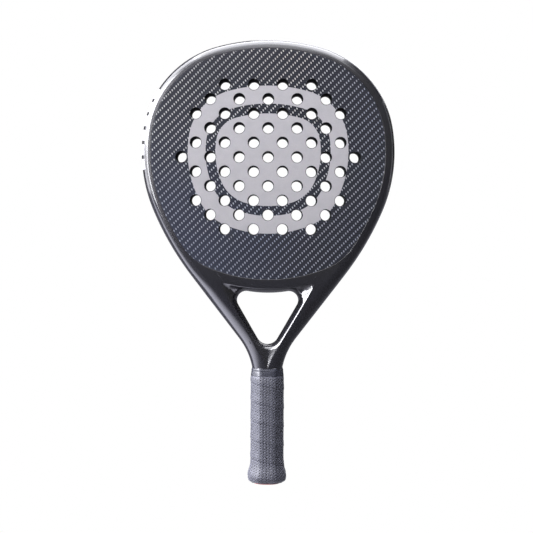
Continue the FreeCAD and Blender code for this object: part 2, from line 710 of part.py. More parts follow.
# ---- parts -------------------------------------------------------------------------------------
def all_parts():
    """Every piece of the racket by name."""
    return {
        "frame_tube": make_frame_tube(),
        "frame_tube_foam": make_frame_tube_foam(),
        "throat_bridge": make_throat_bridge(),
        "throat_bridge_foam": make_throat_bridge_foam(),
        "eva_core": make_eva_core(),
        "front_glass_ply": make_ply(-1, CORE_TOP, PLY_MIDDLE),
        "back_glass_ply": make_ply(1, CORE_TOP, PLY_MIDDLE),
        "front_carbon_face": make_ply(-1, PLY_MIDDLE, PLY_TOP),
        "back_carbon_face": make_ply(1, PLY_MIDDLE, PLY_TOP),
        "front_face_mark": make_face_mark(-1),
        "back_face_mark": make_face_mark(1),
        "rim_side_blocks": make_rim_blocks(),
        "front_handle_pallet": make_handle_pallet(-1),
        "back_handle_pallet": make_handle_pallet(1),
        "butt_cap": make_butt_cap(),
        "butt_end_plate": make_butt_end_plate(),
        "cap_staples": make_cap_staples(),
        "grip_start_staple": make_grip_staple(),
        "base_grip": make_base_grip(),
        "overgrip": make_overgrip(),
        "finishing_tape": make_finishing_tape(),
    }


def main():
    os.makedirs("parts", exist_ok=True)
    for name, shape in all_parts().items():
        shape.exportStep(os.path.join("parts", name + ".step"))


main()
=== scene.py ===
"""Padel racket: the visual model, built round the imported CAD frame.

The frame's axes are kept: +Z runs up the handle to the head, the front face looks to -Y and X is
the width. Sizes of the racket are in millimetres and become metres where a mesh is made; the
studio's are in metres. A point nearer to a line than ON_LINE counts as lying on it.
"""
from __future__ import annotations

import logging
import math
from dataclasses import dataclass, field
from enum import Enum
from typing import Callable, Iterable, Sequence

import bmesh
import bpy
import numpy as np
from mathutils import Matrix, Vector
from mathutils.geometry import delaunay_2d_cdt
from mathutils.kdtree import KDTree


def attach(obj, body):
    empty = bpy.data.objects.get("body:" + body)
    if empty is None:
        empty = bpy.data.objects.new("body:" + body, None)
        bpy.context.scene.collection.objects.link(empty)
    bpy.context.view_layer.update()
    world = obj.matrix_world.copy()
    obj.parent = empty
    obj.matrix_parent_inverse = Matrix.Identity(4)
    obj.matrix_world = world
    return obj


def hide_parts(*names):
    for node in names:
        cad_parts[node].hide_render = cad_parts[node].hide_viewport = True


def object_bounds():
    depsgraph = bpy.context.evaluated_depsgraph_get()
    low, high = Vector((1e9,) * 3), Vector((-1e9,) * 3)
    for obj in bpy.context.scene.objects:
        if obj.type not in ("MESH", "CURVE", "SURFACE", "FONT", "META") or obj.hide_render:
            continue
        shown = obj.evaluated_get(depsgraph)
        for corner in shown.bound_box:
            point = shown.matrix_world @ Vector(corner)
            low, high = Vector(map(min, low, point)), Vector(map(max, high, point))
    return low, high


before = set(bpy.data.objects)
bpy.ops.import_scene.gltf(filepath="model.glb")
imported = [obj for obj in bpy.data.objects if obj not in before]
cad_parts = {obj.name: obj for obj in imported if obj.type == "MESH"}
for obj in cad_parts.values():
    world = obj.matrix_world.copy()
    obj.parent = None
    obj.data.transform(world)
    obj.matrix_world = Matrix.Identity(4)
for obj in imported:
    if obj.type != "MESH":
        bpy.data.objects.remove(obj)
CAD_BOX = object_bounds()

MM = 0.001
BODY = "root"
ON_LINE = 0.004
LENGTH = (CAD_BOX[1][2] - CAD_BOX[0][2]) / MM
HALF_DEPTH = (CAD_BOX[1][1] - CAD_BOX[0][1]) / MM / 2.0

Pair = tuple[float, float]
Colour = tuple[float, float, float, float]
Array = np.ndarray
Socket = bpy.types.NodeSocket

log = logging.getLogger("padel_racket")


class Side(Enum):
    """A face of the racket, as the sign of its Y."""

    FRONT = -1
    BACK = 1


# ---- plane geometry ----
def inside_loops(points: Array, loops: Sequence[Array]) -> Array:
    """Tests which points lie inside an odd number of closed loops.

    Args:
        points: Array of shape (n, 2).
        loops: Closed lines, each of shape (m, 2), whose last point joins the first.

    Returns:
        Boolean array of length n.
    """
    inside = np.zeros(len(points), dtype=bool)
    for loop in loops:
        nearby = np.where((points >= loop.min(axis=0)).all(axis=1)
                          & (points <= loop.max(axis=0)).all(axis=1))[0]
        for part in np.array_split(nearby, max(1, len(nearby) // 2000)):
            x, z = points[part, 0][:, None], points[part, 1][:, None]
            x0, z0 = loop[:, 0][None, :], loop[:, 1][None, :]
            x1, z1 = np.roll(loop[:, 0], -1)[None, :], np.roll(loop[:, 1], -1)[None, :]
            spans = (z0 > z) != (z1 > z)
            rise = np.where(z1 == z0, 1.0, z1 - z0)
            crossings = (spans & (x < (x1 - x0) * (z - z0) / rise + x0)).sum(axis=1)
            inside[part] ^= crossings % 2 == 1
    return inside


def distance_to(points: Array, line: Array, closed: bool = True) -> Array:
    """Distance from each point to a line of straight steps.

    Args:
        points: Array of shape (n, 2).
        line: Array of shape (m, 2).
        closed: Whether the last point joins the first.

    Returns:
        Array of length n.
    """
    starts = line if closed else line[:-1]
    steps = (np.roll(line, -1, axis=0) if closed else line[1:]) - starts
    squares = np.maximum((steps ** 2).sum(axis=1), 1e-12)
    result = np.empty(len(points))
    for part in np.array_split(np.arange(len(points)), max(1, len(points) // 1000)):
        offset = points[part][:, None, :] - starts[None, :, :]
        along = np.clip((offset * steps[None]).sum(axis=2) / squares[None], 0.0, 1.0)
        gap = offset - along[:, :, None] * steps[None]
        result[part] = np.sqrt((gap ** 2).sum(axis=2).min(axis=1))
    return result


def smoothstep(value: Array, low: float, high: float) -> Array:
    """Smooth ramp from 0 at low to 1 at high."""
    t = np.clip((value - low) / (high - low), 0.0, 1.0)
    return t * t * (3.0 - 2.0 * t)


def soft_min(a: Array, b: Array, width: float) -> Array:
    """The smaller of two values, rounded over a width where they meet."""
    return 0.5 * (a + b - np.sqrt((a - b) ** 2 + width ** 2))


def soft_ramp(value: Array, width: float) -> Array:
    """Zero below 0 and the value above it, rounded over a width."""
    return 0.5 * (value + np.sqrt(value ** 2 + width ** 2))


def circle_points(centre: Pair, radius: float, count: int) -> Array:
    """Even points round a circle, shape (count, 2)."""
    turn = np.linspace(0.0, 2.0 * math.pi, count, endpoint=False)
    return np.stack([centre[0] + radius * np.cos(turn), centre[1] + radius * np.sin(turn)], axis=1)


def arc_points(centre: Pair, radius: float, first: Pair,
               last: Pair, step: float) -> Array:
    """Points on the short arc from first to last, without the last one."""
    start = math.atan2(first[1] - centre[1], first[0] - centre[0])
    turn = math.atan2(last[1] - centre[1], last[0] - centre[0]) - start
    turn = (turn + math.pi) % (2.0 * math.pi) - math.pi
    count = max(2, int(abs(turn) * radius / step))
    angles = start + turn * np.arange(count) / count
    return np.stack([centre[0] + radius * np.cos(angles), centre[1] + radius * np.sin(angles)], axis=1)


def towards(centre: Pair, point: Pair, radius: float) -> Pair:
    """Point at a radius from a centre in the direction of another point."""
    scale = radius / math.hypot(point[0] - centre[0], point[1] - centre[1])
    return centre[0] + (point[0] - centre[0]) * scale, centre[1] + (point[1] - centre[1]) * scale


def mirror_loop(right: Array) -> Array:
    """Closed loop from its right half, which runs from the top to the bottom of the middle line."""
    inner = right[np.abs(right[:, 0]) > 1e-6]
    return np.concatenate([right, (inner * (-1.0, 1.0))[::-1]])


@dataclass(frozen=True)
class Outline:
    """The racket's silhouette: tangent arcs of the head, a straight arm and a hollow neck arc."""

    arcs: tuple[Pair, ...] = ((197.5, 15.72), (103.0, 64.91), (153.2, 32.56), (305.0, 14.36))
    arm: float = 80.7
    neck_radius: float = 72.1
    foot_z: float = 112.5
    low_centre_z: float = 369.1
    corner: float = 60.0

    def runs(self) -> list[tuple[float, float, Pair, float, int]]:
        """Arcs as (start length, start heading, centre, radius, bend), in order from the top."""
        found = []
        x, z, theta, length = 0.0, LENGTH, 0.0, 0.0
        for radius, turn in self.arcs:
            centre = (x - radius * math.sin(theta), z - radius * math.cos(theta))
            found.append((length, theta, centre, radius, 1))
            theta += math.radians(turn)
            length += radius * math.radians(turn)
            x, z = centre[0] + radius * math.sin(theta), centre[1] + radius * math.cos(theta)
        found.append((length, theta, (x, z), 0.0, 0))
        length += self.arm
        x, z = x + self.arm * math.cos(theta), z - self.arm * math.sin(theta)
        centre = (x + self.neck_radius * math.sin(theta), z + self.neck_radius * math.cos(theta))
        found.append((length, theta, centre, self.neck_radius, -1))
        return found

    def at(self, length: float, inset: float) -> Pair:
        """Point of the right half at a length from the top and an inset from the outline."""
        start, theta, centre, radius, bend = [run for run in self.runs() if run[0] <= length + 1e-9][-1]
        gone = length - start
        if bend == 0:
            x = centre[0] + gone * math.cos(theta) - inset * math.sin(theta)
            return x, centre[1] - gone * math.sin(theta) - inset * math.cos(theta)
        theta += bend * gone / radius
        reach = bend * radius - inset
        return centre[0] + reach * math.sin(theta), centre[1] + reach * math.cos(theta)

    def stations(self, step: float) -> Array:
        """Even lengths from the top down to the foot, where the handle takes over."""
        start, theta, centre, radius, _ = self.runs()[-1]
        end = start + radius * (theta - math.pi / 2.0 - math.asin((self.foot_z - centre[1]) / radius))
        return np.linspace(0.0, end, int(end / step) + 1)

    def row(self, inset: float, step: float) -> Array:
        """Points of the whole outline at an inset, from the left foot over the top to the right foot."""
        right = np.array([self.at(length, inset) for length in self.stations(step)])
        return np.concatenate([(right[1:] * (-1.0, 1.0))[::-1], right])

    def head_loop(self, inset: float, low_radius: float, step: float, corner: float | None = None) -> Array:
        """Closed loop parallel to the head, shut below by an arc with blended corners.

        Args:
            inset: Distance in from the outline.
            low_radius: Radius of the lower arc about its centre on the middle line.
            step: Spacing of the points.
            corner: Radius of the blends, or None for the face's own.

        Returns:
            Points of shape (n, 2).
        """
        corner = self.corner if corner is None else corner
        low = (0.0, self.low_centre_z)
        parts = []
        for (_, theta, centre, radius, _), (_, turn) in zip(self.runs(), self.arcs):
            reach = radius - inset
            first = (centre[0] + reach * math.sin(theta), centre[1] + reach * math.cos(theta))
            theta_end = theta + math.radians(turn)
            last = (centre[0] + reach * math.sin(theta_end), centre[1] + reach * math.cos(theta_end))
            blend = lower_meeting(centre, reach - corner, low, low_radius - corner)
            if blend:
                leave = towards(centre, blend, reach)
                heading = math.atan2(leave[0] - centre[0], leave[1] - centre[1])
                if theta < heading < theta_end and leave[1] < self.low_centre_z:
                    land = towards(low, blend, low_radius)
                    bottom = (0.0, low[1] - low_radius)
                    parts.append(arc_points(centre, reach, first, leave, step))
                    parts.append(arc_points(blend, corner, leave, land, step))
                    parts.append(arc_points(low, low_radius, land, bottom, step))
                    return mirror_loop(np.concatenate(parts + [np.array([bottom])]))
            parts.append(arc_points(centre, reach, first, last, step))
        raise ValueError("the lower arc misses the head")


def lower_meeting(a: Pair, radius_a: float, b: Pair,
                  radius_b: float) -> Pair | None:
    """Lower right point where two circles cross, or None."""
    dx, dz = b[0] - a[0], b[1] - a[1]
    gap = math.hypot(dx, dz)
    along = (radius_a ** 2 - radius_b ** 2 + gap ** 2) / (2.0 * gap)
    if abs(along) >= radius_a:
        return None
    aside = math.sqrt(radius_a ** 2 - along ** 2)
    options = [(a[0] + (along * dx - side * aside * dz) / gap,
                a[1] + (along * dz + side * aside * dx) / gap) for side in (1, -1)]
    return max(options, key=lambda point: point[0] - point[1])


# ---- mesh helpers ----
def new_object(name: str, data: bpy.types.ID | None) -> bpy.types.Object:
    """Makes an object of its data, at the world's origin, and links it to the scene."""
    made = bpy.data.objects.new(name, data)
    bpy.context.scene.collection.objects.link(made)
    return made


class MeshDraft:
    """Collects points and faces in millimetres and makes one mesh object of them."""

    def __init__(self) -> None:
        """Starts with nothing."""
        self.blocks: list[Array] = []
        self.faces: list[tuple[int, ...]] = []
        self.reliefs: list[Array] = []
        self.count = 0

    def add(self, points: Array, faces: Iterable[Sequence[int]], relief: Array | None = None) -> None:
        """Adds points, and faces that count from the block's first point.

        Args:
            points: Array of shape (n, 3).
            faces: Point numbers of each face.
            relief: Two values from 0 to 1 for each point, kept in the relief map.
        """
        base = self.count
        self.blocks.append(np.asarray(points, dtype=float))
        self.reliefs.append(np.zeros((len(points), 2)) if relief is None else relief)
        self.count += len(points)
        self.faces.extend(tuple(int(base + index) for index in face) for face in faces)

    def add_grid(self, rows: Array, closed: bool = False) -> None:
        """Adds a grid of quads from points of shape (rows, columns, 3)."""
        height, width = rows.shape[:2]
        last = width if closed else width - 1
        faces = [(r * width + c, r * width + (c + 1) % width, (r + 1) * width + (c + 1) % width,
                  (r + 1) * width + c) for r in range(height - 1) for c in range(last)]
        self.add(rows.reshape(-1, 3), faces)

    def build(self, name: str, material: bpy.types.Material, merge: float = 0.002,
              keep_sharp: float | None = None) -> bpy.types.Object:
        """Makes the object.

        Args:
            name: Name of the piece.
            material: Its one material.
            merge: Distance under which points are merged, in millimetres.
            keep_sharp: Angle in degrees over which an edge stays sharp, or None.

        Returns:
            The new object, linked to the scene, at the world's origin.
        """
        mesh = bpy.data.meshes.new(name)
        points = np.concatenate(self.blocks) * MM
        mesh.from_pydata(points.tolist(), [], self.faces)
        relief = np.concatenate(self.reliefs)
        if relief.any():
            corners = np.array([corner for face in self.faces for corner in face])
            mesh.uv_layers.new(name="relief").data.foreach_set("uv", relief[corners].ravel())
        work = bmesh.new()
        work.from_mesh(mesh)
        bmesh.ops.remove_doubles(work, verts=work.verts, dist=merge * MM)
        bmesh.ops.dissolve_degenerate(work, edges=work.edges, dist=merge * MM * 0.5)
        bmesh.ops.recalc_face_normals(work, faces=work.faces)
        for face in work.faces:
            face.smooth = True
        if keep_sharp is not None:
            limit = math.radians(keep_sharp)
            for edge in work.edges:
                if len(edge.link_faces) == 2 and edge.calc_face_angle(0.0) > limit:
                    edge.smooth = False
        work.to_mesh(mesh)
        work.free()
        mesh.materials.append(material)
        return new_object(name, mesh)


def triangulate(loops: Sequence[Array], extra: Array, keep: Callable[[Array], Array],
                chains: Sequence[Array] = ()) -> tuple[Array, Array]:
    """Constrained triangles over a flat region.

    Args:
        loops: Closed lines that the triangles follow.
        extra: Free points inside the region, of shape (n, 2).
        keep: Says for each centroid whether its triangle belongs to the region.
        chains: Open lines that the triangles follow.

    Returns:
        Points of shape (n, 2) and triangles of shape (m, 3).
    """
    points: list[Array] = []
    edges: list[tuple[int, int]] = []
    base = 0
    for line, closed in [(loop, True) for loop in loops] + [(chain, False) for chain in chains]:
        count = len(line)
        points.append(line)
        edges += [(base + i, base + (i + 1) % count) for i in range(count if closed else count - 1)]
        base += count
    if len(extra):
        points.append(extra)
    vertices = [Vector(point) for point in np.concatenate(points)]
    found = delaunay_2d_cdt(vertices, edges, [], 0, 1e-5, False)
    flat = np.array([tuple(vertex) for vertex in found[0]])
    triangles = np.array([face for face in found[2] if len(face) == 3], dtype=int)
    centroids = flat[triangles].mean(axis=1)
    return flat, triangles[keep(centroids)]


def thinned(points: Array, gap: float) -> Array:
    """Points of a list with at most one in each cell of a grid, the first one kept."""
    cells = np.round(points / gap).astype(int)
    _, index = np.unique(cells, axis=0, return_index=True)
    return points[np.sort(index)]


def border_edges(triangles: Array) -> list[tuple[int, int]]:
    """Edges with a triangle on one side only, in that triangle's direction."""
    seen: dict[tuple[int, int], tuple[int, int]] = {}
    for a, b, c in triangles.tolist():
        for first, last in ((a, b), (b, c), (c, a)):
            key = (min(first, last), max(first, last))
            if key in seen:
                del seen[key]
            else:
                seen[key] = (first, last)
    return list(seen.values())


def slab(draft: MeshDraft, flat: Array, triangles: Array, top: Array, bottom: float,
         side: Side) -> None:
    """Adds a closed plate over a triangulated region.

    Args:
        draft: Where the plate goes.
        flat: Points of shape (n, 2).
        triangles: Triangles of shape (m, 3).
        top: Outer height of each point above mid-thickness.
        bottom: Inner height.
        side: The face that the plate lies on.
    """
    sign = side.value
    outer = np.stack([flat[:, 0], sign * top, flat[:, 1]], axis=1)
    inner = np.stack([flat[:, 0], np.full(len(flat), sign * bottom), flat[:, 1]], axis=1)
    count = len(flat)
    faces = [tuple(t) for t in triangles.tolist()]
    faces += [(c + count, b + count, a + count) for a, b, c in triangles.tolist()]
    faces += [(b, a, a + count, b + count) for a, b in border_edges(triangles)]
    draft.add(np.concatenate([outer, inner]), faces)


def set_normals(piece: bpy.types.Object, where: Callable[[Array], tuple[Array, Array]]) -> None:
    """Gives some points of a piece exact normals and leaves the rest as they are.

    Args:
        piece: The piece, already built.
        where: Takes points of shape (n, 3) in millimetres, returns a mask and normals.
    """
    mesh = piece.data
    count = len(mesh.vertices)
    points = np.empty(count * 3)
    mesh.vertices.foreach_get("co", points)
    normals = np.array([tuple(normal.vector) for normal in mesh.vertex_normals])
    mask, exact = where(points.reshape(-1, 3) / MM)
    normals[mask] = exact[mask]
    mesh.normals_split_custom_set_from_vertices(normals.tolist())


def place(piece: bpy.types.Object, slot_name: str, *nodes: str) -> bpy.types.Object:
    """Ties a finished piece to the body and hides the CAD nodes that it stands for."""
    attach(piece, BODY)
    if nodes:
        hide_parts(*nodes)
    stands_for = ", ".join(nodes) or "itself"
    log.info("%s: %d faces, stands for %s", piece.name, len(piece.data.polygons), stands_for)
    return piece


# ---- node building ----
class NodeBench:
    """Adds and joins nodes in one tree."""

    def __init__(self, tree: bpy.types.NodeTree) -> None:
        """Works on a tree."""
        self.tree = tree

    def add(self, kind: str, inputs: dict | None = None, **settings: object) -> bpy.types.Node:
        """Adds a node.

        Args:
            kind: The node's type, such as ShaderNodeMath.
            inputs: Values or sockets for its inputs, by name or number.
            **settings: Properties of the node.

        Returns:
            The node.
        """
        node = self.tree.nodes.new(kind)
        for key, value in settings.items():
            setattr(node, key, value)
        for key, value in (inputs or {}).items():
            self.feed(node.inputs[key], value)
        return node

    def feed(self, socket: Socket, value: object) -> None:
        """Joins a socket to an input, or sets the input to a plain value."""
        if isinstance(value, Socket):
            self.tree.links.new(value, socket)
        else:
            socket.default_value = value

    def math(self, operation: str, *values: object) -> Socket:
        """Adds a math node and returns its result."""
        kind = "ShaderNodeMath"
        return self.add(kind, dict(enumerate(values)), operation=operation).outputs[0]

    def ramp(self, value: Socket, low: float, high: float,
             to_low: float = 0.0, to_high: float = 1.0) -> Socket:
        """Maps a value smoothly from low..high to another range."""
        node = self.add("ShaderNodeMapRange", {0: value, 1: low, 2: high, 3: to_low, 4: to_high},
                        interpolation_type="SMOOTHSTEP")
        return node.outputs[0]

    def mix(self, factor: object, a: object, b: object, blend: str = "MIX") -> Socket:
        """Mixes two colours."""
        node = self.add("ShaderNodeMix", data_type="RGBA", blend_type=blend)
        for index, value in ((0, factor), (6, a), (7, b)):
            self.feed(node.inputs[index], value)
        return node.outputs[2]


def new_group(name: str, inputs: dict[str, float | None], outputs: Sequence[str]
              ) -> tuple[bpy.types.NodeTree, NodeBench, bpy.types.Node, bpy.types.Node]:
    """Starts a shader node group.

    Args:
        name: Name of the group.
        inputs: Default of each number input, or None for a vector.
        outputs: Names of the number outputs.

    Returns:
        The tree, its bench, and its input and output nodes.
    """
    tree = bpy.data.node_groups.new(name, "ShaderNodeTree")
    for label, default in inputs.items():
        kind = "NodeSocketVector" if default is None else "NodeSocketFloat"
        socket = tree.interface.new_socket(name=label, in_out="INPUT", socket_type=kind)
        if default is not None:
            socket.default_value = default
    for label in outputs:
        tree.interface.new_socket(name=label, in_out="OUTPUT", socket_type="NodeSocketFloat")
    bench = NodeBench(tree)
    return tree, bench, bench.add("NodeGroupInput"), bench.add("NodeGroupOutput")


@dataclass
class EffectLibrary:
    """Surface effects that several finishes share, each built once as a node group."""

    groups: dict[str, bpy.types.NodeTree] = field(default_factory=dict)

    def build(self) -> None:
        """Makes every group."""
        self.groups = {"grain": self.grain(), "twill": self.twill(), "wear": self.wear(), "dust": self.dust()}

    def grain(self) -> bpy.types.NodeTree:
        """Fine and broad unevenness: Fine, Broad and a Height made of both."""
        tree, bench, given, result = new_group("surface_grain", {"Vector": None, "Fine Scale": 900.0,
                                                                 "Broad Scale": 40.0},
                                               ("Fine", "Broad", "Height"))
        fine = bench.add("ShaderNodeTexNoise", {"Vector": given.outputs[0], "Scale": given.outputs[1],
                                                "Detail": 3.0, "Roughness": 0.6})
        broad = bench.add("ShaderNodeTexNoise", {"Vector": given.outputs[0], "Scale": given.outputs[2],
                                                 "Detail": 2.0})
        swell = bench.math("MULTIPLY", broad.outputs[0], 0.4)
        height = bench.math("MULTIPLY_ADD", fine.outputs[0], 0.6, swell)
        for socket, value in zip(result.inputs, (fine.outputs[0], broad.outputs[0], height)):
            tree.links.new(value, socket)
        return tree

    def twill(self) -> bpy.types.NodeTree:
        """Two-by-two twill: the first output is each float's oval, which gives its relief and its painted
        highlight, Weft the threads between, and Height.

        Each float is an oval that covers half of a repeat of four threads and leans a little.
        """
        tree, bench, given, result = new_group("twill_weave", {"Vector": None, "Thread": 2.0,
                                                               "Lean": 0.25}, ("Warp", "Weft", "Height"))
        split = bench.add("ShaderNodeSeparateXYZ", {0: given.outputs[0]})
        x = bench.math("DIVIDE", bench.math("MULTIPLY", split.outputs[0], 1.0 / MM), given.outputs[1])
        z = bench.math("DIVIDE", bench.math("MULTIPLY", split.outputs[2], 1.0 / MM), given.outputs[1])
        column = bench.math("FLOOR", x)
        across = bench.math("SUBTRACT", bench.math("SUBTRACT", x, column), 0.5)
        repeat, half_across, half_along = 4.0, 0.32, 0.56
        climb = bench.math("FLOORED_MODULO", bench.math("SUBTRACT", z, column), repeat)
        along = bench.math("SUBTRACT", climb, repeat / 2.0)
        leaned = bench.math("MULTIPLY_ADD", along, given.outputs[2], across)
        squared = bench.math("ADD", bench.math("POWER", bench.math("DIVIDE", leaned, half_across), 2.0),
                             bench.math("POWER", bench.math("DIVIDE", along, half_along), 2.0))
        # Oval of each float: its relief, and where the twill finish paints a pale highlight.
        warp = bench.ramp(squared, 1.3, 0.35)
        row = bench.math("SUBTRACT", bench.math("FRACT", z), 0.5)
        weft = bench.ramp(bench.math("ABSOLUTE", row), 0.5, 0.2)
        height = bench.math("MAXIMUM", warp, bench.math("MULTIPLY", weft, 0.45))
        for socket, value in zip(result.inputs, (warp, weft, height)):
            tree.links.new(value, socket)
        return tree

    def wear(self) -> bpy.types.NodeTree:
        """Mask of rubbed edges, broken up by noise."""
        tree, bench, given, result = new_group("edge_wear", {"Vector": None, "Edge": 0.53, "Scale": 120.0},
                                               ("Mask",))
        shape = bench.add("ShaderNodeNewGeometry")
        noise = bench.add("ShaderNodeTexNoise", {"Vector": given.outputs[0], "Scale": given.outputs[2],
                                                 "Detail": 4.0})
        edge = bench.math("SUBTRACT", shape.outputs["Pointiness"], given.outputs[1])
        sharp = bench.ramp(edge, 0.0, 0.04)
        broken = bench.ramp(noise.outputs[0], 0.45, 0.65)
        tree.links.new(bench.math("MULTIPLY", sharp, broken), result.inputs[0])
        return tree

    def dust(self) -> bpy.types.NodeTree:
        """Mask of faint dust that lies on upward surfaces."""
        tree, bench, given, result = new_group("fine_dust", {"Vector": None, "Scale": 60.0}, ("Mask",))
        shape = bench.add("ShaderNodeNewGeometry")
        up = bench.add("ShaderNodeSeparateXYZ", {0: shape.outputs["Normal"]})
        noise = bench.add("ShaderNodeTexNoise", {"Vector": given.outputs[0], "Scale": given.outputs[1],
                                                 "Detail": 5.0})
        lying = bench.ramp(up.outputs[2], 0.3, 1.0)
        patchy = bench.ramp(noise.outputs[0], 0.4, 0.75)
        tree.links.new(bench.math("MULTIPLY", lying, patchy), result.inputs[0])
        return tree


EFFECTS = EffectLibrary()


def shade(red: float, green: float, blue: float) -> Colour:
    """Opaque colour."""
    return red, green, blue, 1.0


@dataclass(frozen=True)
class Finish:
    """A plain moulded, lacquered or foamed finish with grain, wear and dust.

    The broad grain drifts between base and drift, and worn shows on rubbed edges. The depth of the
    bumps is in metres.
    """

    name: str
    base: Colour
    drift: Colour
    worn: Colour
    roughness: float = 0.4
    rough_swing: float = 0.1
    bump: float = 0.05
    bump_depth: float = 0.0002
    fine_scale: float = 900.0
    broad_scale: float = 40.0
    coat: float = 0.0
    coat_roughness: float = 0.1
    metallic: float = 0.0
    dust: float = 0.06
    specular: float = 0.5
    worn_share: float = 0.5
    dust_colour: Colour = shade(0.55, 0.53, 0.5)
    dust_rough: float = 0.1

    def start(self) -> tuple[bpy.types.Material, NodeBench, bpy.types.Node, Socket]:
        """Makes the material with its uniform values, its shader and the coordinates."""
        material = bpy.data.materials.new(self.name)
        material.use_nodes = True
        material.node_tree.nodes.clear()
        bench = NodeBench(material.node_tree)
        shader = bench.add("ShaderNodeBsdfPrincipled", {
            "Metallic": self.metallic, "Specular IOR Level": self.specular, "Coat Weight": self.coat,
            "Coat Roughness": self.coat_roughness})
        bench.add("ShaderNodeOutputMaterial", {0: shader.outputs[0]})
        where = bench.add("ShaderNodeTexCoord").outputs["Object"]
        material.diffuse_color = self.base
        return material, bench, shader, where

    def group(self, bench: NodeBench, effect: str, where: Socket,
              **values: float) -> bpy.types.Node:
        """Adds one of the shared effects with its own values."""
        node = bench.add("ShaderNodeGroup", node_tree=EFFECTS.groups[effect])
        bench.tree.links.new(where, node.inputs["Vector"])
        for key, value in values.items():
            node.inputs[key.replace("_", " ")].default_value = value
        return node

    def dress(self, bench: NodeBench, shader: bpy.types.Node, where: Socket,
              colour: object, height: Socket | None = None, depth: float = 0.0) -> None:
        """Adds grain, wear and dust over a colour, and joins everything to the shader.

        Args:
            bench: The material's nodes.
            shader: Its shader.
            where: Coordinates.
            colour: Colour or colour socket before wear and dust.
            height: Relief of a pattern, from 0 to 1, or None.
            depth: Depth of that relief in metres.
        """
        grain = self.group(bench, "grain", where, Fine_Scale=self.fine_scale, Broad_Scale=self.broad_scale)
        if not isinstance(colour, Socket):
            colour = bench.mix(bench.ramp(grain.outputs["Broad"], 0.3, 0.7), colour, self.drift)
        wear = self.group(bench, "wear", where)
        worn = bench.mix(bench.math("MULTIPLY", wear.outputs[0], self.worn_share), colour, self.worn)
        dust = self.group(bench, "dust", where)
        dusty = bench.mix(bench.math("MULTIPLY", dust.outputs[0], self.dust), worn, self.dust_colour)
        bench.tree.links.new(dusty, shader.inputs["Base Color"])
        smoothest = self.roughness - self.rough_swing / 2
        rough = bench.math("MULTIPLY_ADD", grain.outputs["Fine"], self.rough_swing, smoothest)
        dulled = bench.math("ADD", rough, bench.math("MULTIPLY", dust.outputs[0], self.dust_rough))
        bench.tree.links.new(dulled, shader.inputs["Roughness"])
        relief = bench.add("ShaderNodeBump", {"Strength": self.bump, "Distance": self.bump_depth,
                                              "Height": grain.outputs["Height"]})
        if height is not None:
            relief = bench.add("ShaderNodeBump", {"Strength": 1.0, "Distance": depth, "Height": height,
                                                  "Normal": relief.outputs[0]})
        bench.tree.links.new(relief.outputs[0], shader.inputs["Normal"])

    def paint(self, bench: NodeBench, shader: bpy.types.Node, where: Socket) -> None:
        """Adds the finish's own pattern, and dresses the shader with it."""
        self.dress(bench, shader, where, self.base)

    def make(self) -> bpy.types.Material:
        """Makes the material."""
        material, bench, shader, where = self.start()
        self.paint(bench, shader, where)
        return material


@dataclass(frozen=True)
class TwillFinish(Finish):
    """Woven carbon under clear resin: a dark navy ground, with a pale painted highlight on each float.

    Each span is where a change begins and where it's complete, in metres: painted shade dulls the float
    highlights downwards and to the right, and painted light makes the ground lighter and bluer at the lower
    left.
    """

    # The pale float colour is a painted highlight; the next colour is the threads between.
    warp: Colour = shade(0.66, 0.64, 0.61)
    weft: Colour = shade(0.018, 0.021, 0.034)
    # Lighter, bluer ground colour: painted light at the lower left.
    painted_light_ground: Colour = shade(0.022, 0.028, 0.055)
    # Where the painted shade and painted light set in, and how strong the painted shade is.
    painted_downward_span: Pair = (0.42, 0.24)
    painted_light_left_span: Pair = (0.06, -0.1)
    painted_shade_right_span: Pair = (0.02, 0.12)
    painted_shade_strength: float = 0.7
    float_swing: float = 0.3
    weft_share: float = 0.7
    thread: float = 2.0
    weave_depth: float = 0.00012

    def paint(self, bench: NodeBench, shader: bpy.types.Node, where: Socket) -> None:
        """Adds the weave, with its painted highlights, painted shade and painted light."""
        twill = self.group(bench, "twill", where, Thread=self.thread)
        drift = bench.add("ShaderNodeTexNoise", {"Vector": where, "Scale": 14.0, "Detail": 2.0})
        place_at = bench.add("ShaderNodeSeparateXYZ", {0: where})
        # Ramp that rises downwards: it sets in the painted shade on the floats and the painted light on the
        # ground.
        low = bench.ramp(place_at.outputs[2], *self.painted_downward_span)
        left = bench.ramp(place_at.outputs[0], *self.painted_light_left_span)
        # Painted light: the ground turns lighter and bluer at the lower left.
        painted_light_ground = bench.mix(bench.math("MULTIPLY", left, low), self.base, self.painted_light_ground)
        ground = bench.mix(bench.math("MULTIPLY", twill.outputs["Weft"], self.weft_share), painted_light_ground, self.weft)
        # Painted shade: the float highlights dull downwards and to the right.
        painted_shade = bench.math("MAXIMUM", low, bench.ramp(place_at.outputs[0], *self.painted_shade_right_span))
        swing = bench.math("MULTIPLY", bench.ramp(drift.outputs[0], 0.3, 0.7), self.float_swing)
        # The floats move from their pale painted highlight towards the drift colour with the painted shade
        # and a random swing.
        floats = bench.mix(bench.math("MULTIPLY_ADD", painted_shade, self.painted_shade_strength, swing), self.warp, self.drift)
        # Painted highlight: the float colour fills each float's oval over the ground.
        colour = bench.mix(twill.outputs["Warp"], ground, floats)
        self.dress(bench, shader, where, colour, twill.outputs["Height"], self.weave_depth)


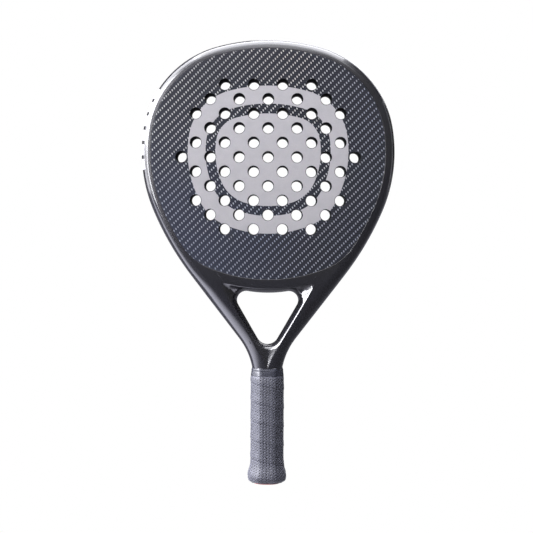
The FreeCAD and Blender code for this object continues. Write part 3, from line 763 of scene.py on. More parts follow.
@dataclass(frozen=True)
class FilmFinish(Finish):
    """Sandy silver film: fine bright grains in a pale ground."""

    sparkle: Colour = shade(0.56, 0.55, 0.57)
    sparkle_share: float = 0.5
    sand_scale: float = 1600.0
    sand_depth: float = 0.00002

    def paint(self, bench: NodeBench, shader: bpy.types.Node, where: Socket) -> None:
        """Adds the sand."""
        sand = bench.add("ShaderNodeTexNoise", {"Vector": where, "Scale": self.sand_scale, "Detail": 2.0,
                                                "Roughness": 0.7})
        cloud = bench.add("ShaderNodeTexNoise", {"Vector": where, "Scale": 160.0, "Detail": 3.0})
        ground = bench.mix(bench.ramp(cloud.outputs[0], 0.3, 0.7), self.base, self.drift)
        grains = bench.ramp(sand.outputs[0], 0.4, 0.75, 0.0, self.sparkle_share)
        colour = bench.mix(grains, ground, self.sparkle)
        self.dress(bench, shader, where, colour, sand.outputs[0], self.sand_depth)


@dataclass(frozen=True)
class LacquerFinish(Finish):
    """Dark navy lacquer with faint metal flake and an even orange peel."""

    flake: Colour = shade(0.06, 0.06, 0.09)
    flake_share: float = 0.12
    flake_scale: float = 2600.0

    def paint(self, bench: NodeBench, shader: bpy.types.Node, where: Socket) -> None:
        """Adds the flake."""
        cells = bench.add("ShaderNodeTexVoronoi", {"Vector": where, "Scale": self.flake_scale})
        speck = bench.ramp(cells.outputs["Distance"], 0.16, 0.05)
        cloud = bench.add("ShaderNodeTexNoise", {"Vector": where, "Scale": 18.0, "Detail": 2.0})
        ground = bench.mix(bench.ramp(cloud.outputs[0], 0.3, 0.7), self.base, self.drift)
        colour = bench.mix(bench.math("MULTIPLY", speck, self.flake_share), ground, self.flake)
        self.dress(bench, shader, where, colour)


@dataclass(frozen=True)
class GripFinish(Finish):
    """Soft wrap: matt, slightly darkened by the hand in places, with a very fine skin.

    The first value of the piece's relief map, the depth of its dimples and holes, darkens them with painted
    shade.
    """

    handled: Colour = shade(0.07, 0.07, 0.085)
    painted_hollow_shade: Colour = shade(0.012, 0.012, 0.018)
    handled_share: float = 0.55
    skin_scale: float = 1500.0
    skin_depth: float = 0.00005
    sheen: float = 0.25
    sheen_roughness: float = 0.4

    def paint(self, bench: NodeBench, shader: bpy.types.Node, where: Socket) -> None:
        """Adds the skin, painted shade in the hollows and a soft sheen."""
        patch = bench.add("ShaderNodeTexNoise", {"Vector": where, "Scale": 35.0, "Detail": 3.0})
        skin = bench.add("ShaderNodeTexVoronoi", {"Vector": where, "Scale": self.skin_scale})
        touched = bench.ramp(patch.outputs[0], 0.4, 0.75, 0.0, self.handled_share)
        colour = bench.mix(touched, self.base, self.handled)
        fine = bench.mix(bench.ramp(skin.outputs["Distance"], 0.0, 0.6), colour, self.drift)
        relief_map = bench.add("ShaderNodeUVMap", uv_map="relief")
        relief = bench.add("ShaderNodeSeparateXYZ", {0: relief_map.outputs[0]})
        # Painted shade: dimples and holes darken with their depth.
        hollow_shaded = bench.mix(bench.ramp(relief.outputs[0], 0.0, 0.5), fine, self.painted_hollow_shade)
        self.dress(bench, shader, where, hollow_shaded, skin.outputs["Distance"], self.skin_depth)
        shader.inputs["Sheen Weight"].default_value = self.sheen
        shader.inputs["Sheen Roughness"].default_value = self.sheen_roughness


class Finishes:
    """Every finish of the racket, made once."""

    def __init__(self) -> None:
        """Builds the shared effects and all materials."""
        EFFECTS.build()
        pale_chip, dark_chip = shade(0.35, 0.35, 0.38), shade(0.02, 0.02, 0.022)
        self.lacquer = LacquerFinish(
            "navy_lacquer", shade(0.011, 0.0105, 0.014), shade(0.015, 0.015, 0.021), pale_chip,
            roughness=0.24, rough_swing=0.04, bump=0.02, fine_scale=500.0, broad_scale=30.0,
            coat=0.6, coat_roughness=0.08).make()
        self.twill = TwillFinish(
            "carbon_twill", shade(0.006, 0.007, 0.012), shade(0.3, 0.325, 0.42), dark_chip,
            roughness=0.42, rough_swing=0.08, bump=0.04, bump_depth=0.0001, fine_scale=1200.0,
            broad_scale=12.0, coat=0.04, coat_roughness=0.25, dust=0.0, specular=0.3).make()
        self.film = FilmFinish(
            "silver_film", shade(0.47, 0.455, 0.475), shade(0.48, 0.465, 0.485), shade(0.45, 0.44, 0.46),
            roughness=0.6, rough_swing=0.0, bump=0.02, bump_depth=0.0001, fine_scale=1500.0,
            broad_scale=20.0, coat_roughness=0.2, dust=0.0, specular=0.2).make()
        self.bore = Finish(
            "bore_lacquer", shade(0.003, 0.003, 0.0035), shade(0.005, 0.005, 0.006), shade(0.01, 0.01, 0.01),
            roughness=0.75, bump=0.1, fine_scale=500.0, broad_scale=60.0, dust=0.0, specular=0.08).make()
        self.grip = GripFinish(
            "soft_grip_wrap", shade(0.08, 0.083, 0.114), shade(0.1, 0.103, 0.138), shade(0.2, 0.2, 0.22),
            roughness=0.55, bump=0.05, bump_depth=0.0001, broad_scale=30.0).make()
        self.tape = Finish(
            "navy_gloss_tape", shade(0.016, 0.018, 0.032), shade(0.024, 0.026, 0.044),
            shade(0.05, 0.05, 0.07), roughness=0.4, rough_swing=0.04, bump=0.02, bump_depth=0.0004,
            fine_scale=60.0, broad_scale=25.0, coat=0.1, coat_roughness=0.15).make()
        self.cap = Finish(
            "black_moulding", shade(0.012, 0.012, 0.014), shade(0.018, 0.018, 0.02), shade(0.08, 0.08, 0.08),
            roughness=0.45, bump=0.15, fine_scale=1400.0, broad_scale=50.0).make()
        self.red = Finish(
            "red_moulding", shade(0.8, 0.02, 0.025), shade(0.7, 0.015, 0.02), shade(0.6, 0.2, 0.18),
            roughness=0.35, rough_swing=0.08, bump=0.1, fine_scale=1200.0, broad_scale=45.0, coat=0.2).make()
        self.steel = Finish(
            "staple_wire", shade(0.55, 0.55, 0.56), shade(0.48, 0.48, 0.5), shade(0.7, 0.7, 0.7),
            roughness=0.35, bump=0.1, bump_depth=0.0001, fine_scale=1500.0, broad_scale=90.0,
            metallic=1.0).make()
        self.glass = Finish(
            "glass_laminate", shade(0.24, 0.27, 0.21), shade(0.28, 0.3, 0.25), shade(0.5, 0.5, 0.45),
            roughness=0.4, bump=0.2, fine_scale=1000.0, broad_scale=60.0, coat=0.2).make()
        self.eva = Finish(
            "black_eva_foam", shade(0.02, 0.02, 0.022), shade(0.03, 0.03, 0.032), shade(0.06, 0.06, 0.06),
            roughness=0.8, bump=0.6, bump_depth=0.0005, fine_scale=1800.0, broad_scale=80.0).make()
        self.filler = Finish(
            "yellow_filler_foam", shade(0.72, 0.62, 0.34), shade(0.66, 0.55, 0.28), shade(0.8, 0.7, 0.5),
            roughness=0.85, bump=0.7, bump_depth=0.0006, fine_scale=1600.0, broad_scale=70.0).make()
        self.pallet = Finish(
            "cream_pallet_foam", shade(0.66, 0.6, 0.46), shade(0.6, 0.54, 0.4), shade(0.75, 0.7, 0.6),
            roughness=0.8, bump=0.6, bump_depth=0.0005, fine_scale=1500.0, broad_scale=60.0).make()
        self.cushion = Finish(
            "black_base_grip", shade(0.025, 0.025, 0.03), shade(0.035, 0.035, 0.04), shade(0.08, 0.08, 0.08),
            roughness=0.6, bump=0.4, bump_depth=0.0004, broad_scale=50.0).make()


# ---- the frame ----
@dataclass
class ThroatOpening:
    """The opening between the arms and the bridge: a rounded triangle."""

    low_z: float = 155.1
    low_radius: float = 11.5
    lean: float = 30.0
    side: float = 40.34
    corner: float = 9.6
    top_radius: float = 125.0

    def loop(self, grow: float, step: float) -> Array:
        """Closed line of the opening, made larger all round by grow.

        Args:
            grow: Distance out from the opening.
            step: Spacing of the points.

        Returns:
            Points of shape (n, 2).
        """
        angle = math.radians(self.lean)
        normal = (math.cos(angle), -math.sin(angle))
        along = (math.sin(angle), math.cos(angle))
        shift = self.low_radius - self.corner
        corner = (self.side * along[0] + shift * normal[0],
                  self.low_z + self.side * along[1] + shift * normal[1])
        top_centre = (0.0, corner[1] + math.sqrt((self.top_radius + self.corner) ** 2 - corner[0] ** 2))
        low_centre = (0.0, self.low_z)
        low, bend, top = self.low_radius + grow, self.corner + grow, self.top_radius - grow
        middle = (0.0, top_centre[1] - top)
        meet_top = towards(corner, top_centre, bend)
        meet_side = (corner[0] + bend * normal[0], corner[1] + bend * normal[1])
        side_end = (low * normal[0], self.low_z + low * normal[1])
        bottom = (0.0, self.low_z - low)
        straight = np.linspace(meet_side, side_end, int(self.side / step), endpoint=False)
        return mirror_loop(np.concatenate([
            arc_points(top_centre, top, middle, meet_top, step),
            arc_points(corner, bend, meet_top, meet_side, step),
            straight, arc_points(low_centre, low, side_end, bottom, step), np.array([bottom])]))


@dataclass
class FrameShape:
    """Relief of the frame: how far its surface stands from mid-thickness at each place.

    A recess sinks from the crest to the opening, round whose edge a lip is rounded. Pairs of shares
    and powers are for the foot of the arms and for the bridge, and spans are heights in Z between
    which one passes to the other.
    """

    outline: Outline = field(default_factory=Outline)
    opening: ThroatOpening = field(default_factory=ThroatOpening)
    face_inset: float = 10.5
    face_arc: float = 158.0
    face_height: float = HALF_DEPTH - 0.1
    bevel_width: float = 2.9
    bevel_slope: float = 13.0
    shoulder: float = 8.0
    neck_depth: float = 12.2
    depth_span: Pair = (112.0, 215.0)
    arm_round: float = 14.0
    arm_power: float = 2.5
    arm_span: Pair = (195.0, 222.0)
    crest_right: tuple[Pair, ...] = (
        (0.0, 119.5), (3.2, 127.8), (6.1, 133.7), (11.1, 142.0), (17.9, 154.6), (32.4, 179.9), (46.5, 203.5))
    crest_corner: Pair = (50.5, 208.5)
    crest_turn: Pair = (50.2, 209.6)
    crest_join_x: float = 44.0
    corner_fade: Pair = (1.0, 18.0)
    crease_centre_z: float = 366.5
    crease_radius: float = 165.0
    recess_top_z: float = 225.0
    recess_share: Pair = (0.6, 0.8)
    share_span: Pair = (140.0, 160.0)
    bridge_span: Pair = (182.0, 204.0)
    crest_lead: float = 0.9
    crest_power: Pair = (1.6, 1.3)
    crest_soft: float = 0.35
    valley_reach: float = 5.0
    lip_drop: float = 1.5
    lip_reach: float = 2.3
    lip_power: float = 4.0
    lip_width: float = 8.0
    groove_depth: float = 0.22
    groove_width: float = 0.5

    def __post_init__(self) -> None:
        """Works out the rim's section and the lines that the relief is measured from."""
        slope = math.radians(self.bevel_slope)
        self.crease = (self.face_inset - self.bevel_width,
                       self.face_height - self.bevel_width * math.tan(slope))
        self.shoulder_x = self.crease[0] + self.shoulder * math.sin(slope)
        self.shoulder_y = self.crease[1] - self.shoulder * math.cos(slope)
        self.wall = ((self.shoulder_x ** 2 + self.shoulder_y ** 2 - self.shoulder ** 2)
                     / (2.0 * (self.shoulder_x - self.shoulder)))
        gap = math.hypot(self.wall - self.shoulder_x, self.shoulder_y)
        self.wall_end = self.wall - self.wall * (self.wall - self.shoulder_x) / gap
        self.edge_line = self.outline.row(0.0, 1.5)
        self.face_line = self.outline.head_loop(self.face_inset, self.face_arc, 1.5)
        self.open_line = self.opening.loop(0.0, 1.2)
        self.crest_line = self.crest()

    def crest(self) -> Array:
        """Closed crest line: up both arms and along the bridge's crease, with small corners."""
        right = [np.linspace(a, b, max(2, int(math.dist(a, b) / 1.2)), endpoint=False)
                 for a, b in zip(self.crest_right, self.crest_right[1:])]
        start = np.array(self.crest_right[-1])
        turn = np.array(self.crest_turn)
        x = self.crest_join_x
        end = np.array((x, self.crease_centre_z - math.sqrt(self.crease_radius ** 2 - x ** 2)))
        t = np.linspace(0.0, 1.0, 9, endpoint=False)[:, None]
        right.append((1 - t) ** 2 * start + 2 * t * (1 - t) * turn + t ** 2 * end)
        low = (0.0, self.crease_centre_z - self.crease_radius)
        right.append(arc_points((0.0, self.crease_centre_z), self.crease_radius, tuple(end), low, 1.2))
        upward = np.concatenate(right + [np.array([low])])
        return mirror_loop(upward[::-1])

    def rim_height(self, u: Array) -> Array:
        """Height over mid-thickness of the rim's section at an inset from the outline."""
        wall = np.sqrt(np.maximum(self.wall ** 2 - (self.wall - np.minimum(u, self.wall_end)) ** 2, 0.0))
        round_x = np.clip(u, self.wall_end, self.crease[0]) - self.shoulder_x
        rounded = self.shoulder_y + np.sqrt(np.maximum(self.shoulder ** 2 - round_x ** 2, 0.0))
        bevel = self.crease[1] + (u - self.crease[0]) * math.tan(math.radians(self.bevel_slope))
        found = np.where(u < self.wall_end, wall, np.where(u < self.crease[0], rounded, bevel))
        return np.minimum(found, self.face_height)

    def half_depth(self, z: Array) -> Array:
        """Half the racket's thickness along the neck and arms."""
        return self.neck_depth + (self.face_height - self.neck_depth) * smoothstep(z, *self.depth_span)

    def arm_height(self, u: Array, z: Array) -> Array:
        """Height of the arms' rounded section."""
        left = 1.0 - np.minimum(u, self.arm_round) / self.arm_round
        return self.half_depth(z) * (1.0 - left ** self.arm_power) ** (1.0 / self.arm_power)

    def shell_height(self, u: Array, z: Array) -> Array:
        """Height before the recess round the opening is taken out."""
        arm = 1.0 - smoothstep(z, *self.arm_span)
        return (1.0 - arm) * self.rim_height(u) + arm * self.arm_height(u, z)

    def height(self, points: Array) -> Array:
        """Height of the finished surface at points of shape (n, 2)."""
        shell = self.shell_height(distance_to(points, self.edge_line, closed=False), points[:, 1])
        low = np.where(points[:, 1] < self.recess_top_z)[0]
        if len(low):
            shell[low] = self.throat_height(points[low], shell[low])
        by_face = distance_to(points, self.face_line)
        return shell - self.groove_depth * np.maximum(1.0 - by_face / self.groove_width, 0.0) ** 2

    def throat_height(self, points: Array, shell: Array) -> Array:
        """Height round the opening, with the recess taken out and the lip rounded.

        Args:
            points: Places on the arms and the bridge, of shape (n, 2).
            shell: Height of the shell at each place.

        Returns:
            Array of length n.
        """
        x, z = np.abs(points[:, 0]), points[:, 1]
        inside = np.where(inside_loops(points, [self.crest_line]), 1.0, -1.0)
        depth = inside * distance_to(points, self.crest_line)
        by_corner = np.hypot(x - self.crest_corner[0], z - self.crest_corner[1])
        fade = smoothstep(by_corner, *self.corner_fade)
        low_share, high_share = self.recess_share
        share = low_share + (high_share - low_share) * smoothstep(z, *self.share_span)
        recess = share * self.half_depth(z)
        bridge = smoothstep(z, *self.bridge_span)
        away = distance_to(points, self.open_line)
        ahead = depth + self.crest_lead * (1.0 - bridge)
        reach = np.maximum(ahead, 0.0) + np.minimum(away, self.valley_reach)
        gone = np.clip(soft_ramp(ahead, self.crest_soft) / np.maximum(reach, 0.01), 0.0, 0.995)
        arm_power, bridge_power = self.crest_power
        power = arm_power + (bridge_power - arm_power) * bridge
        sunk = shell - fade * recess * (1.0 - (1.0 - gone ** power) ** (1.0 / power))
        left = 1.0 - np.minimum(away, self.lip_reach) / self.lip_reach
        rounding = (1.0 - left ** self.lip_power) ** (1.0 / self.lip_power)
        lip = (self.half_depth(z) - self.lip_drop) * rounding
        lip = lip + np.maximum(away - self.lip_reach, 0.0)
        return np.where(away < self.lip_width, soft_min(sunk, lip, 0.6 * np.minimum(away, 1.0)), sunk)


@dataclass
class FrameShell:
    """The lacquered tube round the head, down both arms and into the handle, and its bridge."""

    shape: FrameShape
    strip_insets: tuple[float, ...] = (0.0, 0.05, 0.12, 0.3, 0.7, 1.3, 2.1, 3.2, 4.5)
    line_insets: tuple[float, ...] = (5.5, 6.6, 7.6, 8.7)
    face_offsets: tuple[float, ...] = (0.14, 0.28, 0.5)
    lip_offsets: tuple[float, ...] = (0.05, 0.2, 0.5, 1.0, 1.6, 2.3, 3.0)
    crest_gaps: tuple[float, ...] = (0.3, 0.7, 1.3, 2.1, 3.2)
    arm_insets: tuple[float, ...] = (9.9, 11.2, 12.5, 13.8)
    lattice_across: Pair = (-80.0, 80.1)
    lattice_up: Pair = (114.0, 226.0)
    lattice_step: float = 2.0
    line_clear: float = 0.22
    point_gap: float = 0.35
    joint_inset: float = 23.0
    joint_run: Pair = (-28.0, 62.0)
    joint_span: Pair = (150.0, 260.0)
    joint_low_z: float = 235.0
    bridge_rise: float = 20.0
    bridge_top_z: float = 262.0
    skin: float = 0.03
    step: float = 1.5

    def free_points(self, lines: Sequence[tuple[Array, bool]],
                    domain: Callable[[Array], Array]) -> Array:
        """Points between the lines: rows beside the crest and an even lattice over the throat.

        Args:
            lines: The lines to keep clear of, each with whether it's closed.
            domain: Says for each point whether it lies on the frame's front surface.

        Returns:
            Points of shape (n, 2).
        """
        shape = self.shape
        crest = shape.crest_line
        step = np.roll(crest, -1, axis=0) - np.roll(crest, 1, axis=0)
        normal = np.stack([step[:, 1], -step[:, 0]], axis=1) / np.hypot(step[:, 0], step[:, 1])[:, None]
        rows = []
        for sign in (1.0, -1.0):
            for gap in self.crest_gaps:
                row = crest + normal * (sign * gap)
                rows.append(row[distance_to(row, crest) > 0.9 * gap])
        arms = [np.array([shape.outline.at(length, inset) for length in shape.outline.stations(self.step)])
                for inset in self.arm_insets]
        arms = [row[row[:, 1] < self.lattice_up[1]] for row in arms]
        arms += [row * (-1.0, 1.0) for row in arms]
        x, z = np.meshgrid(np.arange(*self.lattice_across, self.lattice_step),
                           np.arange(*self.lattice_up, self.lattice_step))
        lattice = np.stack([x.ravel(), z.ravel()], axis=1)
        found = np.concatenate(rows + arms + [lattice])
        found = found[domain(found)]
        clear = np.min([distance_to(found, line, closed=closed) for line, closed in lines], axis=0)
        return thinned(found[clear > self.line_clear], self.point_gap)

    def build(self, finishes: Finishes) -> list[bpy.types.Object]:
        """Makes the tube and the bridge as two closed pieces.

        Args:
            finishes: The racket's finishes.

        Returns:
            The two pieces.
        """
        shape, line = self.shape, self.shape.outline
        last = line.row(self.strip_insets[-1], self.step)
        face_rows = [shape.face_line]
        face_rows += [line.head_loop(shape.face_inset - gap, shape.face_arc + gap, self.step)
                      for gap in self.face_offsets]
        lips = [shape.open_line] + [shape.opening.loop(gap, 1.2) for gap in self.lip_offsets]
        low_z, high_z = self.joint_span
        joints = [joint[(joint[:, 1] > low_z) & (joint[:, 1] < high_z)] for joint in self.joint_lines()]

        def domain(points: Array) -> Array:
            """Whether points lie on the frame, between the side wall, the face and the opening."""
            return (inside_loops(points, [last]) & ~inside_loops(points, [shape.face_line])
                    & ~inside_loops(points, [shape.open_line]))

        chains = [line.row(inset, self.step) for inset in self.line_insets] + joints
        loops = [last] + face_rows + lips + [shape.crest_line]
        fixed = [(loop, True) for loop in loops] + [(chain, False) for chain in chains]
        flat, triangles = triangulate(loops, self.free_points(fixed, domain), domain, chains)
        heights = shape.height(flat)
        heights[distance_to(flat, shape.open_line) < ON_LINE] = 0.0
        on_strip = distance_to(flat, last, closed=False) < ON_LINE
        inset = np.full(on_strip.sum(), self.strip_insets[-1])
        heights[on_strip] = shape.shell_height(inset, flat[on_strip, 1])
        middles = flat[triangles].mean(axis=1)
        in_bridge = self.is_bridge(middles)
        pieces = []
        for name, chosen, strip in (("frame_tube", ~in_bridge, True), ("throat_bridge", in_bridge, False)):
            draft = MeshDraft()
            self.add_sides(draft, flat, triangles[chosen], heights, last)
            if strip:
                self.add_strip(draft)
            piece = draft.build(name + "_shell", finishes.lacquer, merge=0.006)
            self.smooth_faces(piece, flat, heights)
            pieces.append(place(piece, "rim_lacquer", name))
        return pieces

    def joint_lines(self) -> list[Array]:
        """The straight joints between the bridge and the two arms."""
        line = self.shape.outline
        first = line.runs()[-2][0]
        ends = [np.array(line.at(first + gone, self.joint_inset)) for gone in self.joint_run]
        right = np.linspace(ends[0], ends[1], 60)
        return [self.between(right), self.between(right * (-1.0, 1.0))]

    def between(self, joint: Array) -> Array:
        """The stretch of a joint from the face's edge to the opening, ending on both."""
        shape = self.shape
        fine = np.linspace(joint[0], joint[-1], 4000)
        free = ~inside_loops(fine, [shape.face_line]) & ~inside_loops(fine, [shape.open_line])
        picks = np.where(free)[0]
        runs = np.split(picks, np.where(np.diff(picks) > 1)[0] + 1)
        chosen = next(run for run in runs if fine[run[0], 1] < self.joint_low_z and len(run) > 20)
        count = max(4, len(chosen) // 60)
        return fine[np.linspace(chosen[0] - 1, chosen[-1] + 1, count).astype(int)]

    def is_bridge(self, points: Array) -> Array:
        """Which points belong to the bridge."""
        right = self.joint_lines()[0]
        first, final = right[0], right[-1]
        run = final - first
        mirrored = np.abs(points[:, 0])
        side = run[0] * (points[:, 1] - first[1]) - run[1] * (mirrored - first[0])
        above = points[:, 1] > self.shape.opening.low_z + self.bridge_rise
        return (side < 0.0) & above & (points[:, 1] < self.bridge_top_z)

    def add_sides(self, draft: MeshDraft, flat: Array, triangles: Array, heights: Array,
                  strip_line: Array) -> None:
        """Adds the front and back surfaces and the walls between them."""
        used, index = np.unique(triangles, return_inverse=True)
        triangles = index.reshape(-1, 3)
        flat, heights = flat[used], heights[used]
        front = np.stack([flat[:, 0], -heights, flat[:, 1]], axis=1)
        back = np.stack([flat[:, 0], heights, flat[:, 1]], axis=1)
        count = len(flat)
        faces = [tuple(t) for t in triangles.tolist()]
        faces += [(c + count, b + count, a + count) for a, b, c in triangles.tolist()]
        on_strip = distance_to(flat, strip_line, closed=False) < ON_LINE
        foot = flat[:, 1] < self.shape.outline.foot_z + 0.01
        for a, b in border_edges(triangles):
            if on_strip[a] and on_strip[b] and not (foot[a] and foot[b]):
                continue
            if heights[a] > 0.0 or heights[b] > 0.0:
                faces.append((b, a, a + count, b + count))
        draft.add(np.concatenate([front, back]), faces)

    def add_strip(self, draft: MeshDraft) -> None:
        """Adds the side wall from the front's outer row round to the back's, closed at both feet."""
        shape = self.shape
        rows = []
        for side in (-1, 1):
            for inset in self.strip_insets[::-1] if side < 0 else self.strip_insets[1:]:
                plan = shape.outline.row(max(inset, self.skin), self.step)
                height = shape.shell_height(np.full(len(plan), inset), plan[:, 1])
                rows.append(np.stack([plan[:, 0], side * height, plan[:, 1]], axis=1))
        grid = np.array(rows)
        draft.add_grid(grid)
        for column in (0, -1):
            ring = grid[:, column]
            draft.add(ring, [range(len(ring))])

    def smooth_faces(self, piece: bpy.types.Object, flat: Array, heights: Array) -> None:
        """Gives the front and back surfaces the exact normals of the relief."""
        shape, tiny = self.shape, 0.03
        rise = (shape.height(flat + (tiny, 0.0)) - shape.height(flat - (tiny, 0.0))) / (2.0 * tiny)
        lift = (shape.height(flat + (0.0, tiny)) - shape.height(flat - (0.0, tiny))) / (2.0 * tiny)
        trusted = distance_to(flat, shape.open_line) > 0.4
        trusted &= distance_to(flat, shape.face_line) > 0.1
        tree = KDTree(len(flat))
        for number, point in enumerate(flat):
            tree.insert((point[0], point[1], 0.0), number)
        tree.balance()

        def exact(points: Array) -> tuple[Array, Array]:
            """Which mesh points lie on the relief, and its normal at each."""
            found = [tree.find((point[0], point[2], 0.0)) for point in points]
            number = np.array([hit[1] for hit in found])
            near = np.array([hit[2] for hit in found]) < 0.01
            level = np.abs(np.abs(points[:, 1]) - heights[number]) < 0.01
            normal = np.stack([-rise[number], np.sign(points[:, 1]), -lift[number]], axis=1)
            normal /= np.linalg.norm(normal, axis=1)[:, None]
            return near & level & trusted[number], normal

        set_normals(piece, exact)


# ---- the head ----
@dataclass
class HoleField:
    """The rows of holes drilled through the head."""

    rows: tuple[int, ...] = (4, 5, 6, 5, 6, 7, 6, 5, 6, 5, 4)
    row_pitch: float = 14.63
    column_pitch: float = 29.3
    middle_z: float = 335.0
    radius: float = 5.6
    lip: float = 0.4
    lacquer: float = 0.05
    sides: int = 40

    def centres(self) -> list[Pair]:
        """Centres of all holes as (x, z)."""
        half = (len(self.rows) - 1) / 2.0
        return [((column - (count - 1) / 2.0) * self.column_pitch,
                 self.middle_z + (half - row) * self.row_pitch)
                for row, count in enumerate(self.rows) for column in range(count)]

    def rings(self, radius: float) -> list[Array]:
        """A circle round every hole."""
        return [circle_points(centre, radius, self.sides) for centre in self.centres()]

    def liner_tree(self, material: bpy.types.Material) -> bpy.types.NodeTree:
        """Geometry nodes that put a lacquered bore, lipped at both ends, on every point.

        Args:
            material: The bores' finish.

        Returns:
            The node tree, with inputs for the bore's sizes.
        """
        tree = bpy.data.node_groups.new("bore_lining", "GeometryNodeTree")
        tree.interface.new_socket(name="Geometry", in_out="INPUT", socket_type="NodeSocketGeometry")
        for label in ("Radius", "Half Depth", "Lip"):
            tree.interface.new_socket(name=label, in_out="INPUT", socket_type="NodeSocketFloat")
        tree.interface.new_socket(name="Sides", in_out="INPUT", socket_type="NodeSocketInt")
        tree.interface.new_socket(name="Geometry", in_out="OUTPUT", socket_type="NodeSocketGeometry")
        bench = NodeBench(tree)
        given, result = bench.add("NodeGroupInput"), bench.add("NodeGroupOutput")
        radius, half, lip = (given.outputs[label] for label in ("Radius", "Half Depth", "Lip"))
        straight_share = 0.2
        tube = bench.add("GeometryNodeMeshCylinder", {"Vertices": given.outputs["Sides"],
                                                      "Side Segments": 10, "Radius": 1.0, "Depth": 2.0},
                         fill_type="NONE")
        split = bench.add("ShaderNodeSeparateXYZ", {0: bench.add("GeometryNodeInputPosition").outputs[0]})
        level = split.outputs[2]
        size = bench.math("ABSOLUTE", level)
        beyond = bench.math("MAXIMUM", bench.math("SUBTRACT", size, straight_share), 0.0)
        angle = bench.math("MULTIPLY", beyond, math.pi / 2.0 / (1.0 - straight_share))
        rise = bench.math("MULTIPLY_ADD", bench.math("SUBTRACT", bench.math("SINE", angle), 1.0), lip, half)
        flare = bench.math("SUBTRACT", 1.0, bench.math("COSINE", angle))
        spread = bench.math("MULTIPLY_ADD", flare, lip, radius)
        signed = bench.math("MULTIPLY", rise, bench.math("SIGN", level))
        away = bench.math("MULTIPLY", signed, bench.math("GREATER_THAN", size, straight_share / 2.0))
        moved = bench.add("ShaderNodeCombineXYZ", {0: bench.math("MULTIPLY", split.outputs[0], spread),
                                                   1: bench.math("MULTIPLY", split.outputs[1], spread),
                                                   2: away})
        shaped = bench.add("GeometryNodeSetPosition", {"Geometry": tube.outputs["Mesh"],
                                                       "Position": moved.outputs[0]})
        inward = bench.add("GeometryNodeFlipFaces", {0: shaped.outputs[0]})
        smooth = bench.add("GeometryNodeSetShadeSmooth", {0: inward.outputs[0]})
        turned = bench.add("GeometryNodeInstanceOnPoints", {"Points": given.outputs[0],
                                                            "Instance": smooth.outputs[0],
                                                            "Rotation": (math.pi / 2.0, 0.0, 0.0)})
        real = bench.add("GeometryNodeRealizeInstances", {0: turned.outputs[0]})
        painted = bench.add("GeometryNodeSetMaterial", {0: real.outputs[0], "Material": material})
        tree.links.new(painted.outputs[0], result.inputs[0])
        return tree

    def build_liners(self, finishes: Finishes, depth: float) -> bpy.types.Object:
        """Makes the lacquer in all bores as one piece."""
        mesh = bpy.data.meshes.new("bore_centres")
        mesh.from_pydata([(x * MM, 0.0, z * MM) for x, z in self.centres()], [], [])
        seed = new_object("bore_centres", mesh)
        tree = self.liner_tree(finishes.bore)
        modifier = seed.modifiers.new("lining", "NODES")
        modifier.node_group = tree
        values = {"Radius": (self.radius - self.lacquer) * MM, "Half Depth": depth * MM,
                  "Lip": self.lip * MM, "Sides": self.sides}
        for item in tree.interface.items_tree:
            if item.in_out == "INPUT" and item.name in values:
                modifier[item.identifier] = values[item.name]
        evaluated = seed.evaluated_get(bpy.context.evaluated_depsgraph_get())
        plain = bpy.data.meshes.new_from_object(evaluated)
        bpy.data.objects.remove(seed)
        return place(new_object("bore_lacquer", plain), "rim_lacquer")


